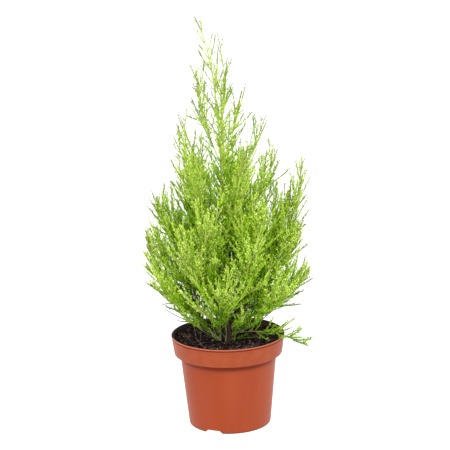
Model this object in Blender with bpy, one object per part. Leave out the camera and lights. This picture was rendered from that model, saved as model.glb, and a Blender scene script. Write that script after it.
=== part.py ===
"""A young lemon cypress in a round plastic nursery pot.

The trunk runs whole from the soil up through the crown. Bare boughs leave it low down, and each
ends where a plume of foliage begins. A plume is one stem with a slim core, and toothed blades that
stand out of it: a blade stands for a side shoot with its row of scale-leaved shootlets.
Lengths are in metres, +Z is up, +X is to the right and +Y is to the back.
The origin is the middle of the pot's underside.
"""

import math
import random
from collections import namedtuple

import bmesh
import bpy
import numpy as np
from mathutils import Vector

MM = 0.001
UP = Vector((0, 0, 1))
GOLDEN_ANGLE = math.radians(137.508)
SEAM = 0.3 * MM  # the gap between two pieces that touch

# The pot
POT_HEIGHT = 97.5 * MM
RIM_RADIUS = 60.0 * MM
COLLAR_HEIGHT = 21.0 * MM
COLLAR_FOOT_RADIUS = 57.2 * MM
BODY_TOP_RADIUS = 50.8 * MM
FOOT_RADIUS = 43.4 * MM
WALL = 1.4 * MM
FLOOR_LIFT = 3.6 * MM  # the floor's underside stands this far above the table
LIP = 0.5 * MM  # the chamfer of the rim's outer edge
NOTCH_WIDTH = 22.0 * MM
NOTCH_TOP_WIDTH = 13.0 * MM
NOTCH_HEIGHT = 3.3 * MM
NOTCH_AZIMUTHS = [math.radians(a) for a in (246, 3, 125)]
DRAIN_RADIUS = 4.5 * MM
DRAIN_INSET = 10.0 * MM  # from the foot's outer edge in to the middle of a drain hole
DRAIN_SIDES = 12
CUT_OVERRUN = 1.0 * MM  # a cutter runs this far past the face that it opens
POT_SIDES = 40

# The soil
SOIL_LEVEL = 89.0 * MM  # at the trunk
SOIL_SWELL = 1.6 * MM  # its edge and its lumps rise this far at most
SOIL_LUMPY_RADII = (45.0 * MM, 31.0 * MM)
SOIL_LUMPS = (-0.4, 1.0)  # the least and the most that a lump rises, as shares of the swell
SOIL_EDGE_RISE = 0.6  # another share of it, at the wall
SOIL_FLAT_RADIUS = 17.0 * MM  # kept level, where the stems stand
SOIL_SIDES = 34
SOIL_SEED = 5

# The trunk: its centreline leans and bends, as (height, x) of a smooth curve
TRUNK_LINE = [(89, 2.0), (125, 0.6), (175, -1.0), (240, -1.6), (300, -2.8), (338, -5.4)]
TRUNK_FOOT_RADIUS = 3.1 * MM
TRUNK_TIP_RADIUS = 0.8 * MM
TRUNK_TAPER = 0.8  # under 1, it thins sooner low down
FLARE = 1.4 * MM  # added to the radius at the soil
FLARE_HEIGHT = 7.0 * MM
TRUNK_SIDES = 10
TRUNK_RINGS = 16
RING_CROWDING = 1.35  # over 1, the rings stand closer together at the flare

# A second foot, left of the trunk, where the lowest stems come out of the soil together
SIDE_FOOT = Vector((-7.4 * MM, -0.6 * MM, SOIL_LEVEL + SEAM))
SIDE_FOOT_SPREAD = 3.9 * MM

# The boughs
BOUGH_ROOT_RADIUS = 1.5 * MM
BOUGH_TIP_RADIUS = 0.95 * MM
BOUGH_SIDES = 5
BOUGH_RINGS = 4
ROOT_SHARE = 0.6  # a stem is never thicker than this share of the trunk that it leaves
SEAT_SLIDES = (-8.0 * MM, 12.0 * MM)  # a root ring's points slide this far to meet the trunk
SEAT_HALVINGS = 24

# The stems of the plumes, with their cores
STEM_THINNING = 0.65  # the share of its radius that a plume's stem has lost at its tip
CORE_SIDES = 5
CORE_RINGS = 5
CORE_LAST_RING = 0.985
CORE_END = 0.9  # the share of the plume that the core fills, from its foot
CORE_SKEW = 0.75  # under 1, the core is thickest nearer its foot
CORE_FULLNESS = 0.8  # under 1, it keeps its thickness for longer

# The blades
BLADES_FROM = 0.16  # the shares of the stem at the first blade and at the last
BLADES_TO = 0.92
BLADE_SHIFT = 0.2  # a blade's place varies by this share of the distance to the next
BLADE_ANGLE = math.radians(46)  # between a blade and its stem, near the foot of the plume
BLADE_ANGLE_AT_TIP = math.radians(27)
BLADE_LIFT = 0.24  # how far a blade's tip bends upward, as a share of its length
BLADE_LENGTH_AT_FOOT = 0.7  # a share of the plume's longest blade
BLADE_LENGTH_SWELL = 1.1  # it grows towards the middle of the plume
BLADE_LENGTH_LOSS = 0.33  # and shrinks towards its tip
BLADE_LENGTH_SPREAD = (0.88, 1.0)
BLADE_ROLL = 0.5  # radians about its own length, either way
BLADE_RIB = 1.7 * MM  # half the width of the rib between two teeth
BLADE_RIDGE = 1.3 * MM
RIB_AT_FOOT = 1.15  # the rib's width and ridge at the blade's foot, as a share of these
RIB_THINNING = 0.6
BLADE_POINT = 0.9  # the bare point of a blade, as a share of the distance between its teeth
TOOTH_ANGLE = math.radians(44)
TOOTH_PLACE = 0.55  # where a tooth stands between one section of the rib and the next
TOOTH_LIFT = 0.15
FEW_TEETH_UNDER = 22 * MM  # a shorter blade has two pairs of teeth, a longer one has three
TOOTH_LENGTHS = (0.50, 0.44, 0.30)  # shares of the blade's length, from its foot up

# The room that a plume has
OWN_SPACE_GAP = 1.3 * MM  # between a plume's shapes and the edge of its own space
TRUNK_CLEARANCE = 0.9 * MM
POT_CLEARANCE = 1.2 * MM
INSIDE_WALL_CLEARANCE = 3.2 * MM  # for a shape that hangs down inside the collar
# A blade that doesn't fit its space is turned about the stem, then tried shorter
TURN_STEPS = [math.radians(a) for a in (0, 30, -30, 62, -62)]
SHRINK_STEPS = (1.0, 0.88, 0.77, 0.67, 0.57, 0.48, 0.4)
PATH_SAMPLES = 24

# One row for each storey of the crown: how many plumes, the first one's azimuth, where they leave
# the trunk, how high and how far out their tips are, how the stem bows out (share of the reach and
# of the rise at its bend), the bare share of it, the longest blade, the number of blades, the core.
Storey = namedtuple(
    "Storey",
    "name count azimuth foot_height tip_height reach bow_out bow_up bare blade blades core",
)
STOREYS = [
    Storey("skirt", 7, 8, 101, 153, 88.5, 0.50, 0.55, 0.26, 46, 7, 6.0),
    Storey("lower", 7, 34, 122, 201, 86.0, 0.56, 0.44, 0.22, 48, 8, 7.5),
    Storey("middle", 6, 186, 150, 242, 79.5, 0.62, 0.42, 0.0, 48, 8, 7.5),
    Storey("upper", 5, 67, 190, 288, 60.0, 0.58, 0.38, 0.0, 44, 7, 6.0),
    Storey("high", 4, 175, 236, 326, 45.0, 0.56, 0.42, 0.0, 36, 7, 4.0),
    Storey("top", 4, 185, 288, 369, 26.0, 0.60, 0.38, 0.0, 30, 8, 0.0),
]
# The crown's outline as (height, radius) about an axis that leans at the top
CROWN_OUTLINE = [
    (92, 10),
    (115, 48),
    (140, 80),
    (158, 90),
    (200, 86),
    (236, 80),
    (260, 69),
    (288, 61),
    (328, 48),
    (342, 31),
    (378, 21),
    (402, 13),
    (432, 4),
]
CROWN_LEAN_FROM = 300
CROWN_TOP_X = -25
HEIGHT_SPREAD = 15.0 * MM  # the feet of one storey wind round the trunk over this height
FOOT_SHIFT = 0.4  # the share of that height that lies under the storey's own foot height
TIP_SPREAD = 9.0 * MM  # and its tips, in the storeys above the skirt
AZIMUTH_SPREAD = 7  # degrees, and the shares of the reach, in the same storeys
REACH_SPREAD = (0.92, 1.0)
SIDE_FOOT_PLUMES = ("skirt_4", "skirt_5", "skirt_6")  # these rise from the second foot
SIDE_FOOT_RISE = 9.0 * MM  # and their bends and tips are higher by this much

# Single plumes with a shape of their own: the height of the foot, and (x, y, z) of bend and tip
Single = namedtuple("Single", "name foot_height bend tip bare blade blades core")
SINGLES = [
    Single("shoulder", 136, (72, -3, 168), (81.5, -4, 287), 0.24, 36, 9, 3.5),
    Single("rim", 97, (47, -24, 112), (82.5, -40, 93), 0.14, 26, 8, 0.0),
    Single("twin", 318, (10, 4, 352), (-3, 4, 416), 0.0, 26, 8, 0.0),
    Single("leader", 338, (-9, -1, 400), (-25, -2, 432), 0.0, 25, 9, 0.0),
]

MATERIALS = {
    "pot": ((0.486, 0.122, 0.062), 0.42),
    "soil": ((0.020, 0.012, 0.008), 0.95),
    "bark": ((0.110, 0.060, 0.030), 0.85),
    "twig": ((0.220, 0.260, 0.060), 0.75),
    "foliage": ((0.260, 0.480, 0.035), 0.60),
}


def material(name):
    """The Principled material of that name, made once."""
    made = bpy.data.materials.get(name)
    if made:
        return made
    colour, roughness = MATERIALS[name]
    made = bpy.data.materials.new(name)
    made.use_nodes = True
    shader = made.node_tree.nodes["Principled BSDF"]
    shader.inputs["Base Color"].default_value = (*colour, 1)
    shader.inputs["Roughness"].default_value = roughness
    made.diffuse_color = (*colour, 1)
    return made


def add_object(name, verts, faces, material_name, smooth_under=0.0):
    """An object of one closed mesh, its faces turned outward."""
    mesh = bpy.data.meshes.new(name)
    mesh.from_pydata([tuple(v) for v in verts], [], faces)
    shape = bmesh.new()
    shape.from_mesh(mesh)
    bmesh.ops.recalc_face_normals(shape, faces=shape.faces)
    shape.to_mesh(mesh)
    shape.free()
    mesh.materials.append(material(material_name))
    if smooth_under:
        mesh.shade_smooth()
        mesh.set_sharp_from_angle(angle=math.radians(smooth_under))
    made = bpy.data.objects.new(name, mesh)
    bpy.context.scene.collection.objects.link(made)
    return made


def skin(rings):
    """Verts and faces of a tube over these rings, with a flat face or a point at each end."""
    verts, faces = [], []
    starts = []
    for ring in rings:
        starts.append(len(verts))
        verts += ring
    for a, b, low, high in zip(starts, starts[1:], rings, rings[1:]):
        n = max(len(low), len(high))
        for i in range(n):
            j = (i + 1) % n
            if len(low) == 1:
                faces.append((a, b + i, b + j))
            elif len(high) == 1:
                faces.append((a + i, a + j, b))
            else:
                faces.append((a + i, a + j, b + j, b + i))
    for start, ring in ((starts[0], rings[0]), (starts[-1], rings[-1])):
        if len(ring) > 2:
            faces.append(tuple(range(start, start + len(ring))))
    return verts, faces


def at(azimuth, reach, height):
    return Vector((math.cos(azimuth) * reach, math.sin(azimuth) * reach, height))


def turned(profile, sides):
    """Verts and faces of a profile of (radius, height) turned about Z. It starts and ends on Z."""
    turn = [2 * math.pi * i / sides for i in range(sides)]
    rings = [[at(a, radius, height) for a in (turn if radius else [0])] for radius, height in profile]
    return skin(rings)


def applied_boolean(body, operation, cutters):
    """Joins the cutters to the body, or cuts them from it, applies that, and removes them."""
    group = bpy.data.collections.new("tools")
    bpy.context.scene.collection.children.link(group)
    for tool in cutters:
        bpy.context.scene.collection.objects.unlink(tool)
        group.objects.link(tool)
    joint = body.modifiers.new("joint", "BOOLEAN")
    joint.operation = operation
    joint.operand_type = "COLLECTION"
    joint.collection = group
    joint.solver = "MANIFOLD"
    graph = bpy.context.evaluated_depsgraph_get()
    result = bpy.data.meshes.new_from_object(body.evaluated_get(graph))
    body.modifiers.clear()
    body.data = result
    for tool in cutters:
        bpy.data.objects.remove(tool)
    bpy.data.collections.remove(group)
    keep_main_body(body)
    return body


def keep_main_body(body):
    """Drops loose scraps and fills sealed hollows: only the largest closed surface stays."""
    shape = bmesh.new()
    shape.from_mesh(body.data)
    bmesh.ops.triangulate(shape, faces=shape.faces)
    todo, groups = set(shape.faces), []
    while todo:
        front = [todo.pop()]
        group = []
        while front:
            face = front.pop()
            group.append(face)
            near = {f for edge in face.edges for f in edge.link_faces} & todo
            todo -= near
            front += near
        groups.append(group)
    groups.sort(key=volume_of, reverse=True)
    scraps = [face for group in groups[1:] for face in group]
    bmesh.ops.delete(shape, geom=scraps, context="FACES")
    shape.to_mesh(body.data)
    shape.free()


def volume_of(faces):
    """The signed volume inside these triangles."""
    total = 0
    for face in faces:
        a, b, c = (v.co for v in face.verts)
        total += a.dot(b.cross(c)) / 6
    return total


def radius_between(height, low, high):
    """The radius at a height on the straight slope between two (radius, height) points."""
    share = (height - low[1]) / (high[1] - low[1])
    return low[0] + share * (high[0] - low[0])


# The pot's outer wall, from its foot up: the tapered body, the step, the collar and its rim
STEP_HEIGHT = POT_HEIGHT - COLLAR_HEIGHT
STEP_RISE = 2.2 * MM  # the step slopes by this much
ROUNDING = 1.2 * MM  # of the collar's lower edge and of the foot's
WALL_FOOT = (FOOT_RADIUS, ROUNDING)
WALL_TOP = (BODY_TOP_RADIUS, STEP_HEIGHT - STEP_RISE)
COLLAR_FOOT = (COLLAR_FOOT_RADIUS, STEP_HEIGHT + STEP_RISE / 2)
RIM = (RIM_RADIUS, POT_HEIGHT)


def inner_profile(gap):
    """The inside of the pot's wall from the floor up, drawn in by a gap, as (radius, height)."""
    floor = FLOOR_LIFT + WALL + gap
    thick = WALL + gap
    low = (radius_between(floor, WALL_FOOT, WALL_TOP) - thick, floor)
    high = (WALL_TOP[0] - thick, WALL_TOP[1] + thick / 2)
    ledge = (COLLAR_FOOT[0] - thick, COLLAR_FOOT[1] + thick)
    return low, high, ledge


def make_pot():
    low, high, ledge = inner_profile(0)
    ring_inside = FOOT_RADIUS - 2 * WALL
    profile = [
        (0, FLOOR_LIFT),
        (ring_inside, FLOOR_LIFT),
        (ring_inside, 0),
        (FOOT_RADIUS - ROUNDING, 0),
        WALL_FOOT,
        WALL_TOP,
        (COLLAR_FOOT_RADIUS - ROUNDING, COLLAR_FOOT[1] - ROUNDING),
        COLLAR_FOOT,
        (RIM_RADIUS, POT_HEIGHT - LIP),
        (RIM_RADIUS - LIP, POT_HEIGHT),
        (RIM_RADIUS - WALL, POT_HEIGHT),
        ledge,
        high,
        low,
        (0, low[1]),
    ]
    pot = add_object("pot", *turned(profile, POT_SIDES), "pot", smooth_under=35)
    cutters = []
    for number, azimuth in enumerate(NOTCH_AZIMUTHS):
        cutters.append(notch_cutter(f"notch_{number}", azimuth))
        cutters.append(drain_cutter(f"drain_{number}", azimuth))
    applied_boolean(pot, "DIFFERENCE", cutters)
    return pot


def notch_cutter(name, azimuth):
    """A wedge with sloping ends that opens the foot ring."""
    inner, outer = FOOT_RADIUS - 4 * WALL, FOOT_RADIUS + 3 * WALL
    half_low, half_high = NOTCH_WIDTH / 2, NOTCH_TOP_WIDTH / 2
    out = at(azimuth, 1, 0)
    side = UP.cross(out)
    outline = [
        (-half_low, -CUT_OVERRUN),
        (half_low, -CUT_OVERRUN),
        (half_low, 0),
        (half_high, NOTCH_HEIGHT),
        (-half_high, NOTCH_HEIGHT),
        (-half_low, 0),
    ]
    rings = [[out * reach + side * s + UP * z for s, z in outline] for reach in (inner, outer)]
    return add_object(name, *skin(rings), "pot")


def drain_cutter(name, azimuth):
    """A round plug that opens a drain hole in the floor, just inside the notch."""
    middle = at(azimuth, FOOT_RADIUS - DRAIN_INSET, 0)
    turn = [2 * math.pi * i / DRAIN_SIDES for i in range(DRAIN_SIDES)]
    rings = []
    for height in (FLOOR_LIFT - CUT_OVERRUN, FLOOR_LIFT + WALL + CUT_OVERRUN):
        rings.append([middle + at(a, DRAIN_RADIUS, height) for a in turn])
    return add_object(name, *skin(rings), "pot")


def make_soil():
    """Fills the pot up to its collar. Its top is level where the stems stand and lumpy outside."""
    low, high, ledge = inner_profile(SEAM)
    edge_height = SOIL_LEVEL + SOIL_SWELL * SOIL_EDGE_RISE
    edge_radius = radius_between(edge_height, ledge, (RIM_RADIUS - WALL - SEAM, POT_HEIGHT))
    draw = random.Random(SOIL_SEED)
    rings = [[Vector((0, 0, low[1]))]]
    for radius, height in (low, high, ledge, (edge_radius, edge_height)):
        rings.append(soil_ring(radius, [height] * SOIL_SIDES))
    for radius in SOIL_LUMPY_RADII:
        heights = [SOIL_LEVEL + draw.uniform(*SOIL_LUMPS) * SOIL_SWELL for _ in range(SOIL_SIDES)]
        rings.append(soil_ring(radius, heights))
    rings.append(soil_ring(SOIL_FLAT_RADIUS, [SOIL_LEVEL] * SOIL_SIDES))
    verts, faces = skin(rings)
    return add_object("soil", verts, faces, "soil", smooth_under=40)


def soil_ring(radius, heights):
    return [at(2 * math.pi * i / len(heights), radius, height) for i, height in enumerate(heights)]


def trunk_point(height):
    """The trunk's centre at a height, on a smooth curve through TRUNK_LINE."""
    line = [(h * MM, x * MM) for h, x in TRUNK_LINE]
    height = min(max(height, line[0][0]), line[-1][0])
    for i, (low, high) in enumerate(zip(line, line[1:])):
        if height <= high[0]:
            break
    before, after = line[max(i - 1, 0)], line[min(i + 2, len(line) - 1)]
    slope_in = (high[1] - before[1]) / (high[0] - before[0])
    slope_out = (after[1] - low[1]) / (after[0] - low[0])
    span = high[0] - low[0]
    t = (height - low[0]) / span
    x = (
        low[1] * (2 * t**3 - 3 * t**2 + 1)
        + slope_in * span * (t**3 - 2 * t**2 + t)
        + high[1] * (3 * t**2 - 2 * t**3)
        + slope_out * span * (t**3 - t**2)
    )
    return Vector((x, 0, height))


def trunk_radius(height):
    """It tapers evenly, with a flare over the roots."""
    foot, tip = TRUNK_LINE[0][0] * MM, TRUNK_LINE[-1][0] * MM
    share = (height - foot) / (tip - foot)
    taper = TRUNK_FOOT_RADIUS + (TRUNK_TIP_RADIUS - TRUNK_FOOT_RADIUS) * share**TRUNK_TAPER
    return taper + FLARE * math.exp(-(height - foot) / FLARE_HEIGHT)


def make_trunk():
    foot, tip = SOIL_LEVEL + SEAM, TRUNK_LINE[-1][0] * MM
    rings = []
    for i in range(TRUNK_RINGS):
        height = foot + (tip - foot) * (i / (TRUNK_RINGS - 1)) ** RING_CROWDING
        middle, radius = trunk_point(height), trunk_radius(height)
        turn = [2 * math.pi * side / TRUNK_SIDES for side in range(TRUNK_SIDES)]
        rings.append([middle + at(a, radius, 0) for a in turn])
    return add_object("trunk", *skin(rings), "bark", smooth_under=50)


# A plume as grown: the curve of its stem, and where on it the bare bough ends
Plume = namedtuple("Plume", "name number in_crown on_trunk foot bend tip bare blade blades core")


def storey_plumes(storey, first_number):
    """The plumes of one storey, evenly round the trunk but for small seeded differences."""
    made = []
    for i in range(storey.count):
        number = first_number + i
        draw = random.Random(number)
        name = f"{storey.name}_{i + 1}"
        azimuth = math.radians(storey.azimuth + 360 * i / storey.count)
        step = (3 * i) % storey.count / storey.count
        foot_height = storey.foot_height * MM + (step - FOOT_SHIFT) * HEIGHT_SPREAD
        tip_height, reach = storey.tip_height * MM, storey.reach * MM
        if storey.name != "skirt":
            azimuth += math.radians(draw.uniform(-AZIMUTH_SPREAD, AZIMUTH_SPREAD))
            tip_height += draw.uniform(-1, 1) * TIP_SPREAD
            reach *= draw.uniform(*REACH_SPREAD)
        from_side = name in SIDE_FOOT_PLUMES
        if from_side:
            foot = SIDE_FOOT + at(azimuth, SIDE_FOOT_SPREAD, 0)
            tip_height += SIDE_FOOT_RISE
        else:
            foot = trunk_point(foot_height) + at(azimuth, trunk_radius(foot_height), 0)
        tip = at(azimuth, reach, tip_height)
        bend = foot.lerp(tip, storey.bow_out)
        bend.z = foot.z + (tip.z - foot.z) * storey.bow_up + from_side * SIDE_FOOT_RISE
        made.append(
            Plume(
                name,
                number,
                True,
                not from_side,
                foot,
                bend,
                tip,
                storey.bare,
                storey.blade * MM,
                storey.blades,
                storey.core * MM,
            )
        )
    return made


def all_plumes():
    made = []
    for storey in STOREYS:
        made += storey_plumes(storey, len(made))
    for one in SINGLES:
        bend, tip = (Vector(p) * MM for p in (one.bend, one.tip))
        foot = trunk_point(one.foot_height * MM)
        on_trunk = one.name != "leader"
        if on_trunk:
            azimuth = math.atan2(bend.y - foot.y, bend.x - foot.x)
            foot += at(azimuth, trunk_radius(foot.z), 0)
        else:
            foot.z += SEAM
        made.append(
            Plume(
                one.name,
                len(made),
                False,
                on_trunk,
                foot,
                bend,
                tip,
                one.bare,
                one.blade * MM,
                one.blades,
                one.core * MM,
            )
        )
    return made


def stem_point(plume, t):
    """A point of the stem's curve, from its foot at 0 to its tip at 1."""
    return plume.foot * (1 - t) ** 2 + plume.bend * 2 * t * (1 - t) + plume.tip * t**2


def stem_direction(plume, t):
    return ((plume.bend - plume.foot) * (1 - t) + (plume.tip - plume.bend) * t).normalized()


def sideways(direction):
    """A level vector across a direction."""
    across = direction.cross(UP)
    return across.normalized() if across.length > 1e-4 else Vector((1, 0, 0))


def ring_about(middle, direction, radius, sides):
    across = sideways(direction)
    over = across.cross(direction).normalized()
    ring = []
    for i in range(sides):
        a = 2 * math.pi * i / sides
        ring.append(middle + (across * math.cos(a) + over * math.sin(a)) * radius)
    return ring


def seated_on_trunk(ring, direction):
    """Slides each point of a root ring along the limb until it stands a seam clear of the trunk."""
    seated = []
    for point in ring:
        low, high = SEAT_SLIDES
        for _ in range(SEAT_HALVINGS):
            middle = (low + high) / 2
            p = point + direction * middle
            centre = trunk_point(p.z)
            gap = math.hypot(p.x - centre.x, p.y - centre.y) - trunk_radius(p.z)
            if gap < SEAM:
                low = middle
            else:
                high = middle
        seated.append(point + direction * high)
    return seated


def make_bough(plume):
    rings = []
    for i in range(BOUGH_RINGS):
        share = i / (BOUGH_RINGS - 1)
        t = plume.bare * share
        radius = BOUGH_ROOT_RADIUS + (BOUGH_TIP_RADIUS - BOUGH_ROOT_RADIUS) * share
        rings.append(ring_about(stem_point(plume, t), stem_direction(plume, t), radius, BOUGH_SIDES))
    if plume.on_trunk:
        rings[0] = seated_on_trunk(rings[0], stem_direction(plume, 0))
    else:
        rings[0] = [Vector((p.x, p.y, SIDE_FOOT.z)) for p in rings[0]]
    return add_object(f"bough_{plume.name}", *skin(rings), "twig", smooth_under=60)


def core_radius(plume, t, room):
    """The stem swells into the plume's core and thins again to a point at the tip."""
    share = (t - plume.bare) / (1 - plume.bare)
    thick = BOUGH_TIP_RADIUS
    if plume.on_trunk and not plume.bare:
        thick = min(thick, ROOT_SHARE * trunk_radius(plume.foot.z))
    stem = thick * (1 - STEM_THINNING * share)
    swell = plume.core * math.sin(math.pi * min(1, share**CORE_SKEW / CORE_END)) ** CORE_FULLNESS
    return min(max(stem, swell), max(stem, room))


def side_blades(plume):
    """Each blade's place on the stem, its length, and the directions that it may take."""
    first = max(plume.bare, BLADES_FROM)
    for i in range(plume.blades):
        draw = random.Random(1000 * plume.number + i)
        share = (i + 0.5 + draw.uniform(-BLADE_SHIFT, BLADE_SHIFT)) / plume.blades
        t = first + (BLADES_TO - first) * share
        along = stem_direction(plume, t)
        across = sideways(along)
        over = across.cross(along).normalized()
        angle = BLADE_ANGLE + (BLADE_ANGLE_AT_TIP - BLADE_ANGLE) * share
        directions = []
        for step in TURN_STEPS:
            turn = GOLDEN_ANGLE * i + plume.number + step
            outward = across * math.cos(turn) + over * math.sin(turn)
            directions.append((along * math.cos(angle) + outward * math.sin(angle)).normalized())
        length = BLADE_LENGTH_AT_FOOT + BLADE_LENGTH_SWELL * share * (1 - share)
        length -= BLADE_LENGTH_LOSS * share**2
        length *= plume.blade * draw.uniform(*BLADE_LENGTH_SPREAD)
        yield stem_point(plume, t), directions, length, draw.uniform(-BLADE_ROLL, BLADE_ROLL)


def blade_shape(root, direction, length, roll):
    """Verts and faces of a toothed blade with a ridge along its upper side, pointed at its root."""
    teeth = 3 if length > FEW_TEETH_UNDER else 2
    flat = sideways(direction)
    normal = flat.cross(direction).normalized()
    flat = flat * math.cos(roll) + normal * math.sin(roll)
    ridge = flat.cross(direction).normalized() * BLADE_RIDGE
    verts = [root]
    middles = [root]
    for i in range(1, teeth + 1):
        share = i / (teeth + BLADE_POINT)
        middle = root + direction * length * share + UP * length * BLADE_LIFT * share**2
        slim = RIB_AT_FOOT - RIB_THINNING * share
        verts += [middle - flat * BLADE_RIB * slim, middle + flat * BLADE_RIB * slim]
        verts.append(middle + ridge * slim)
        middles.append(middle)
    tip = len(verts)
    verts.append(root + direction * length + UP * length * BLADE_LIFT)
    faces = []
    for i in range(teeth):
        reach = length * TOOTH_LENGTHS[i + 3 - teeth]
        for side, sign in ((0, -1), (1, 1)):
            forward = direction * math.cos(TOOTH_ANGLE) + flat * sign * math.sin(TOOTH_ANGLE)
            start = middles[i].lerp(middles[i + 1], TOOTH_PLACE)
            verts.append(start + forward * reach + UP * reach * TOOTH_LIFT)
            tooth, low, high = len(verts) - 1, 3 * i - 2, 3 * i + 1
            rib = (low + side, high + side) if i else (0, high + side)
            back = (low + 2, high + 2) if i else (0, high + 2)
            faces += [(rib[0], rib[1], tooth), (rib[1], back[1], tooth), (rib[0], tooth, back[1])]
            if i:
                faces[-1] = (back[0], back[1], tooth)
                faces.append((rib[0], back[0], tooth))
        faces.append((low, low + 1, high + 1, high) if i else (0, high + 1, high))
    last = 3 * teeth - 2
    faces += [(last, tip, last + 2), (last + 1, last + 2, tip), (last, last + 1, tip)]
    return verts, faces


class Spaces:
    """The crown shared out: a point belongs to the plume whose stem it is nearest to."""

    def __init__(self, plumes):
        self.order = [plume.name for plume in plumes]
        self.lines = np.array([sampled(plume) for plume in plumes])
        heights = np.linspace(TRUNK_LINE[0][0] * MM, TRUNK_LINE[-1][0] * MM, 4 * PATH_SAMPLES)
        self.trunk = np.array([trunk_point(h) for h in heights])
        self.trunk_radii = np.array([trunk_radius(h) for h in heights])

    def distances(self, plume, points):
        """How far each point is from the plume's own stem, and from the nearest other stem."""
        p = np.array(points)[:, None, None, :]
        start, along = self.lines[:, :-1], np.diff(self.lines, axis=1)
        t = ((p - start) * along).sum(-1) / (along * along).sum(-1)
        nearest = start + along * np.clip(t, 0, 1)[..., None]
        gaps = np.linalg.norm(p - nearest, axis=-1).min(axis=2)
        own = self.order.index(plume.name)
        return gaps[:, own], np.delete(gaps, own, axis=1).min(axis=1)

    def holds(self, plume, points):
        """True if these points keep to the plume's own space, off the trunk and off the pot."""
        own, other = self.distances(plume, points)
        if (own + 2 * OWN_SPACE_GAP > other).any():
            return False
        if plume.in_crown and not all(inside_crown(point) for point in points):
            return False
        to_trunk = np.linalg.norm(np.array(points)[:, None] - self.trunk, axis=2)
        if (to_trunk - self.trunk_radii).min() < TRUNK_CLEARANCE:
            return False
        return all(clear_of_pot(point) for point in points)


def inside_crown(point):
    height = point.z / MM
    heights, radii = zip(*CROWN_OUTLINE)
    lean = max(0, height - CROWN_LEAN_FROM) / (heights[-1] - CROWN_LEAN_FROM)
    radius = math.hypot(point.x - CROWN_TOP_X * MM * lean, point.y)
    return radius < np.interp(height, heights, radii) * MM


def sampled(plume):
    return [stem_point(plume, i / (PATH_SAMPLES - 1)) for i in range(PATH_SAMPLES)]


def clear_of_pot(point):
    """Over the soil, and inside or outside the collar but not in it."""
    radius = math.hypot(point.x, point.y)
    if radius < RIM_RADIUS and point.z < SOIL_LEVEL + SOIL_SWELL + POT_CLEARANCE:
        return False
    inner = RIM_RADIUS - WALL - INSIDE_WALL_CLEARANCE
    beside_wall = inner < radius < RIM_RADIUS + POT_CLEARANCE
    return not (beside_wall and point.z < POT_HEIGHT + POT_CLEARANCE)


def fitting_blade(plume, spaces, root, directions, length, roll):
    """The longest blade that fits, in the first direction that has room for it."""
    for step in SHRINK_STEPS:
        for direction in directions:
            verts, faces = blade_shape(root, direction, length * step, roll)
            if spaces.holds(plume, verts):
                return verts, faces
    return None


def make_foliage(plume, spaces):
    """One plume: its stem and core, with every blade that fits its space fused on."""
    start = plume.bare
    if plume.bare:
        length = (plume.tip - plume.foot).length
        start = plume.bare + SEAM / length
    rings = []
    for i in range(CORE_RINGS):
        t = start + (CORE_LAST_RING - start) * i / (CORE_RINGS - 1)
        point = stem_point(plume, t)
        room = spaces.distances(plume, [point])[1][0] / 2 - OWN_SPACE_GAP
        radius = core_radius(plume, t, room)
        rings.append(ring_about(point, stem_direction(plume, t), radius, CORE_SIDES))
    if plume.on_trunk and not plume.bare:
        rings[0] = seated_on_trunk(rings[0], stem_direction(plume, 0))
    rings.append([stem_point(plume, 1)])
    stem = add_object(f"foliage_{plume.name}", *skin(rings), "foliage")
    blades = []
    for root, directions, length, roll in side_blades(plume):
        shape = fitting_blade(plume, spaces, root, directions, length, roll)
        if shape:
            blades.append(add_object(f"blade_{len(blades)}", *shape, "foliage"))
    if blades:
        applied_boolean(stem, "UNION", blades)
    return stem


def main():
    for old in list(bpy.data.objects):
        bpy.data.objects.remove(old)
    make_pot()
    make_soil()
    make_trunk()
    plumes = all_plumes()
    spaces = Spaces(plumes)
    for plume in plumes:
        if plume.bare:
            make_bough(plume)
        make_foliage(plume, spaces)


main()
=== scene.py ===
"""The looks of a young lemon cypress in its round plastic pot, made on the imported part.

The pot, the peat, the trunk and the bare boughs come first, from the table up. The foliage then
grows on from the same stems as the part's masses, down to single scale leaves.
Lengths are in metres, +Z is up, +X is to the right and +Y is to the back.
"""

import math
import random
from collections import namedtuple

import bmesh
import bpy
import numpy as np
from mathutils import Matrix, Vector, noise


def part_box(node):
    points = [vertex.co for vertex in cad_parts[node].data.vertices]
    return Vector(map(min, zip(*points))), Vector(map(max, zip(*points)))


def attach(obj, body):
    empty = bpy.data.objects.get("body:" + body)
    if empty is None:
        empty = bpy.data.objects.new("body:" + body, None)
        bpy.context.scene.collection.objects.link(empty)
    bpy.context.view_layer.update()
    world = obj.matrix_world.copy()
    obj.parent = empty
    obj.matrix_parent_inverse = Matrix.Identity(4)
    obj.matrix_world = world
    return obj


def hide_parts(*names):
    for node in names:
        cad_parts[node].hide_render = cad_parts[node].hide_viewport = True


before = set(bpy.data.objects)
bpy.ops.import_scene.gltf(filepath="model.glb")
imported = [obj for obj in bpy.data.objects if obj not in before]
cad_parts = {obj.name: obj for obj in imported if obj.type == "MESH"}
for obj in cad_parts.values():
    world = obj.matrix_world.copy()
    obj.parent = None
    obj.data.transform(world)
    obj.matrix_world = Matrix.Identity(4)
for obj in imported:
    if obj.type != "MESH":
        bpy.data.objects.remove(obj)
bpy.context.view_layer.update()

# The pot is one injection moulding in terracotta-coloured polypropylene, satin and slightly
# uneven in tone. A deep collar stiffens its rim, and three notches in the foot ring let the water
# out that runs through the drain holes beside them.
MM = 0.001
POT_SIDES = 144
_, pot_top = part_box("pot")
RIM_RADIUS = pot_top[0]
POT_HEIGHT = pot_top[2]
COLLAR_HEIGHT = 21.0 * MM
COLLAR_FOOT_RADIUS = 57.2 * MM
BODY_TOP_RADIUS = 50.8 * MM
FOOT_RADIUS = 43.4 * MM
WALL = 1.4 * MM
WALL_SPLAY = 0.3 * MM
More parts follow.
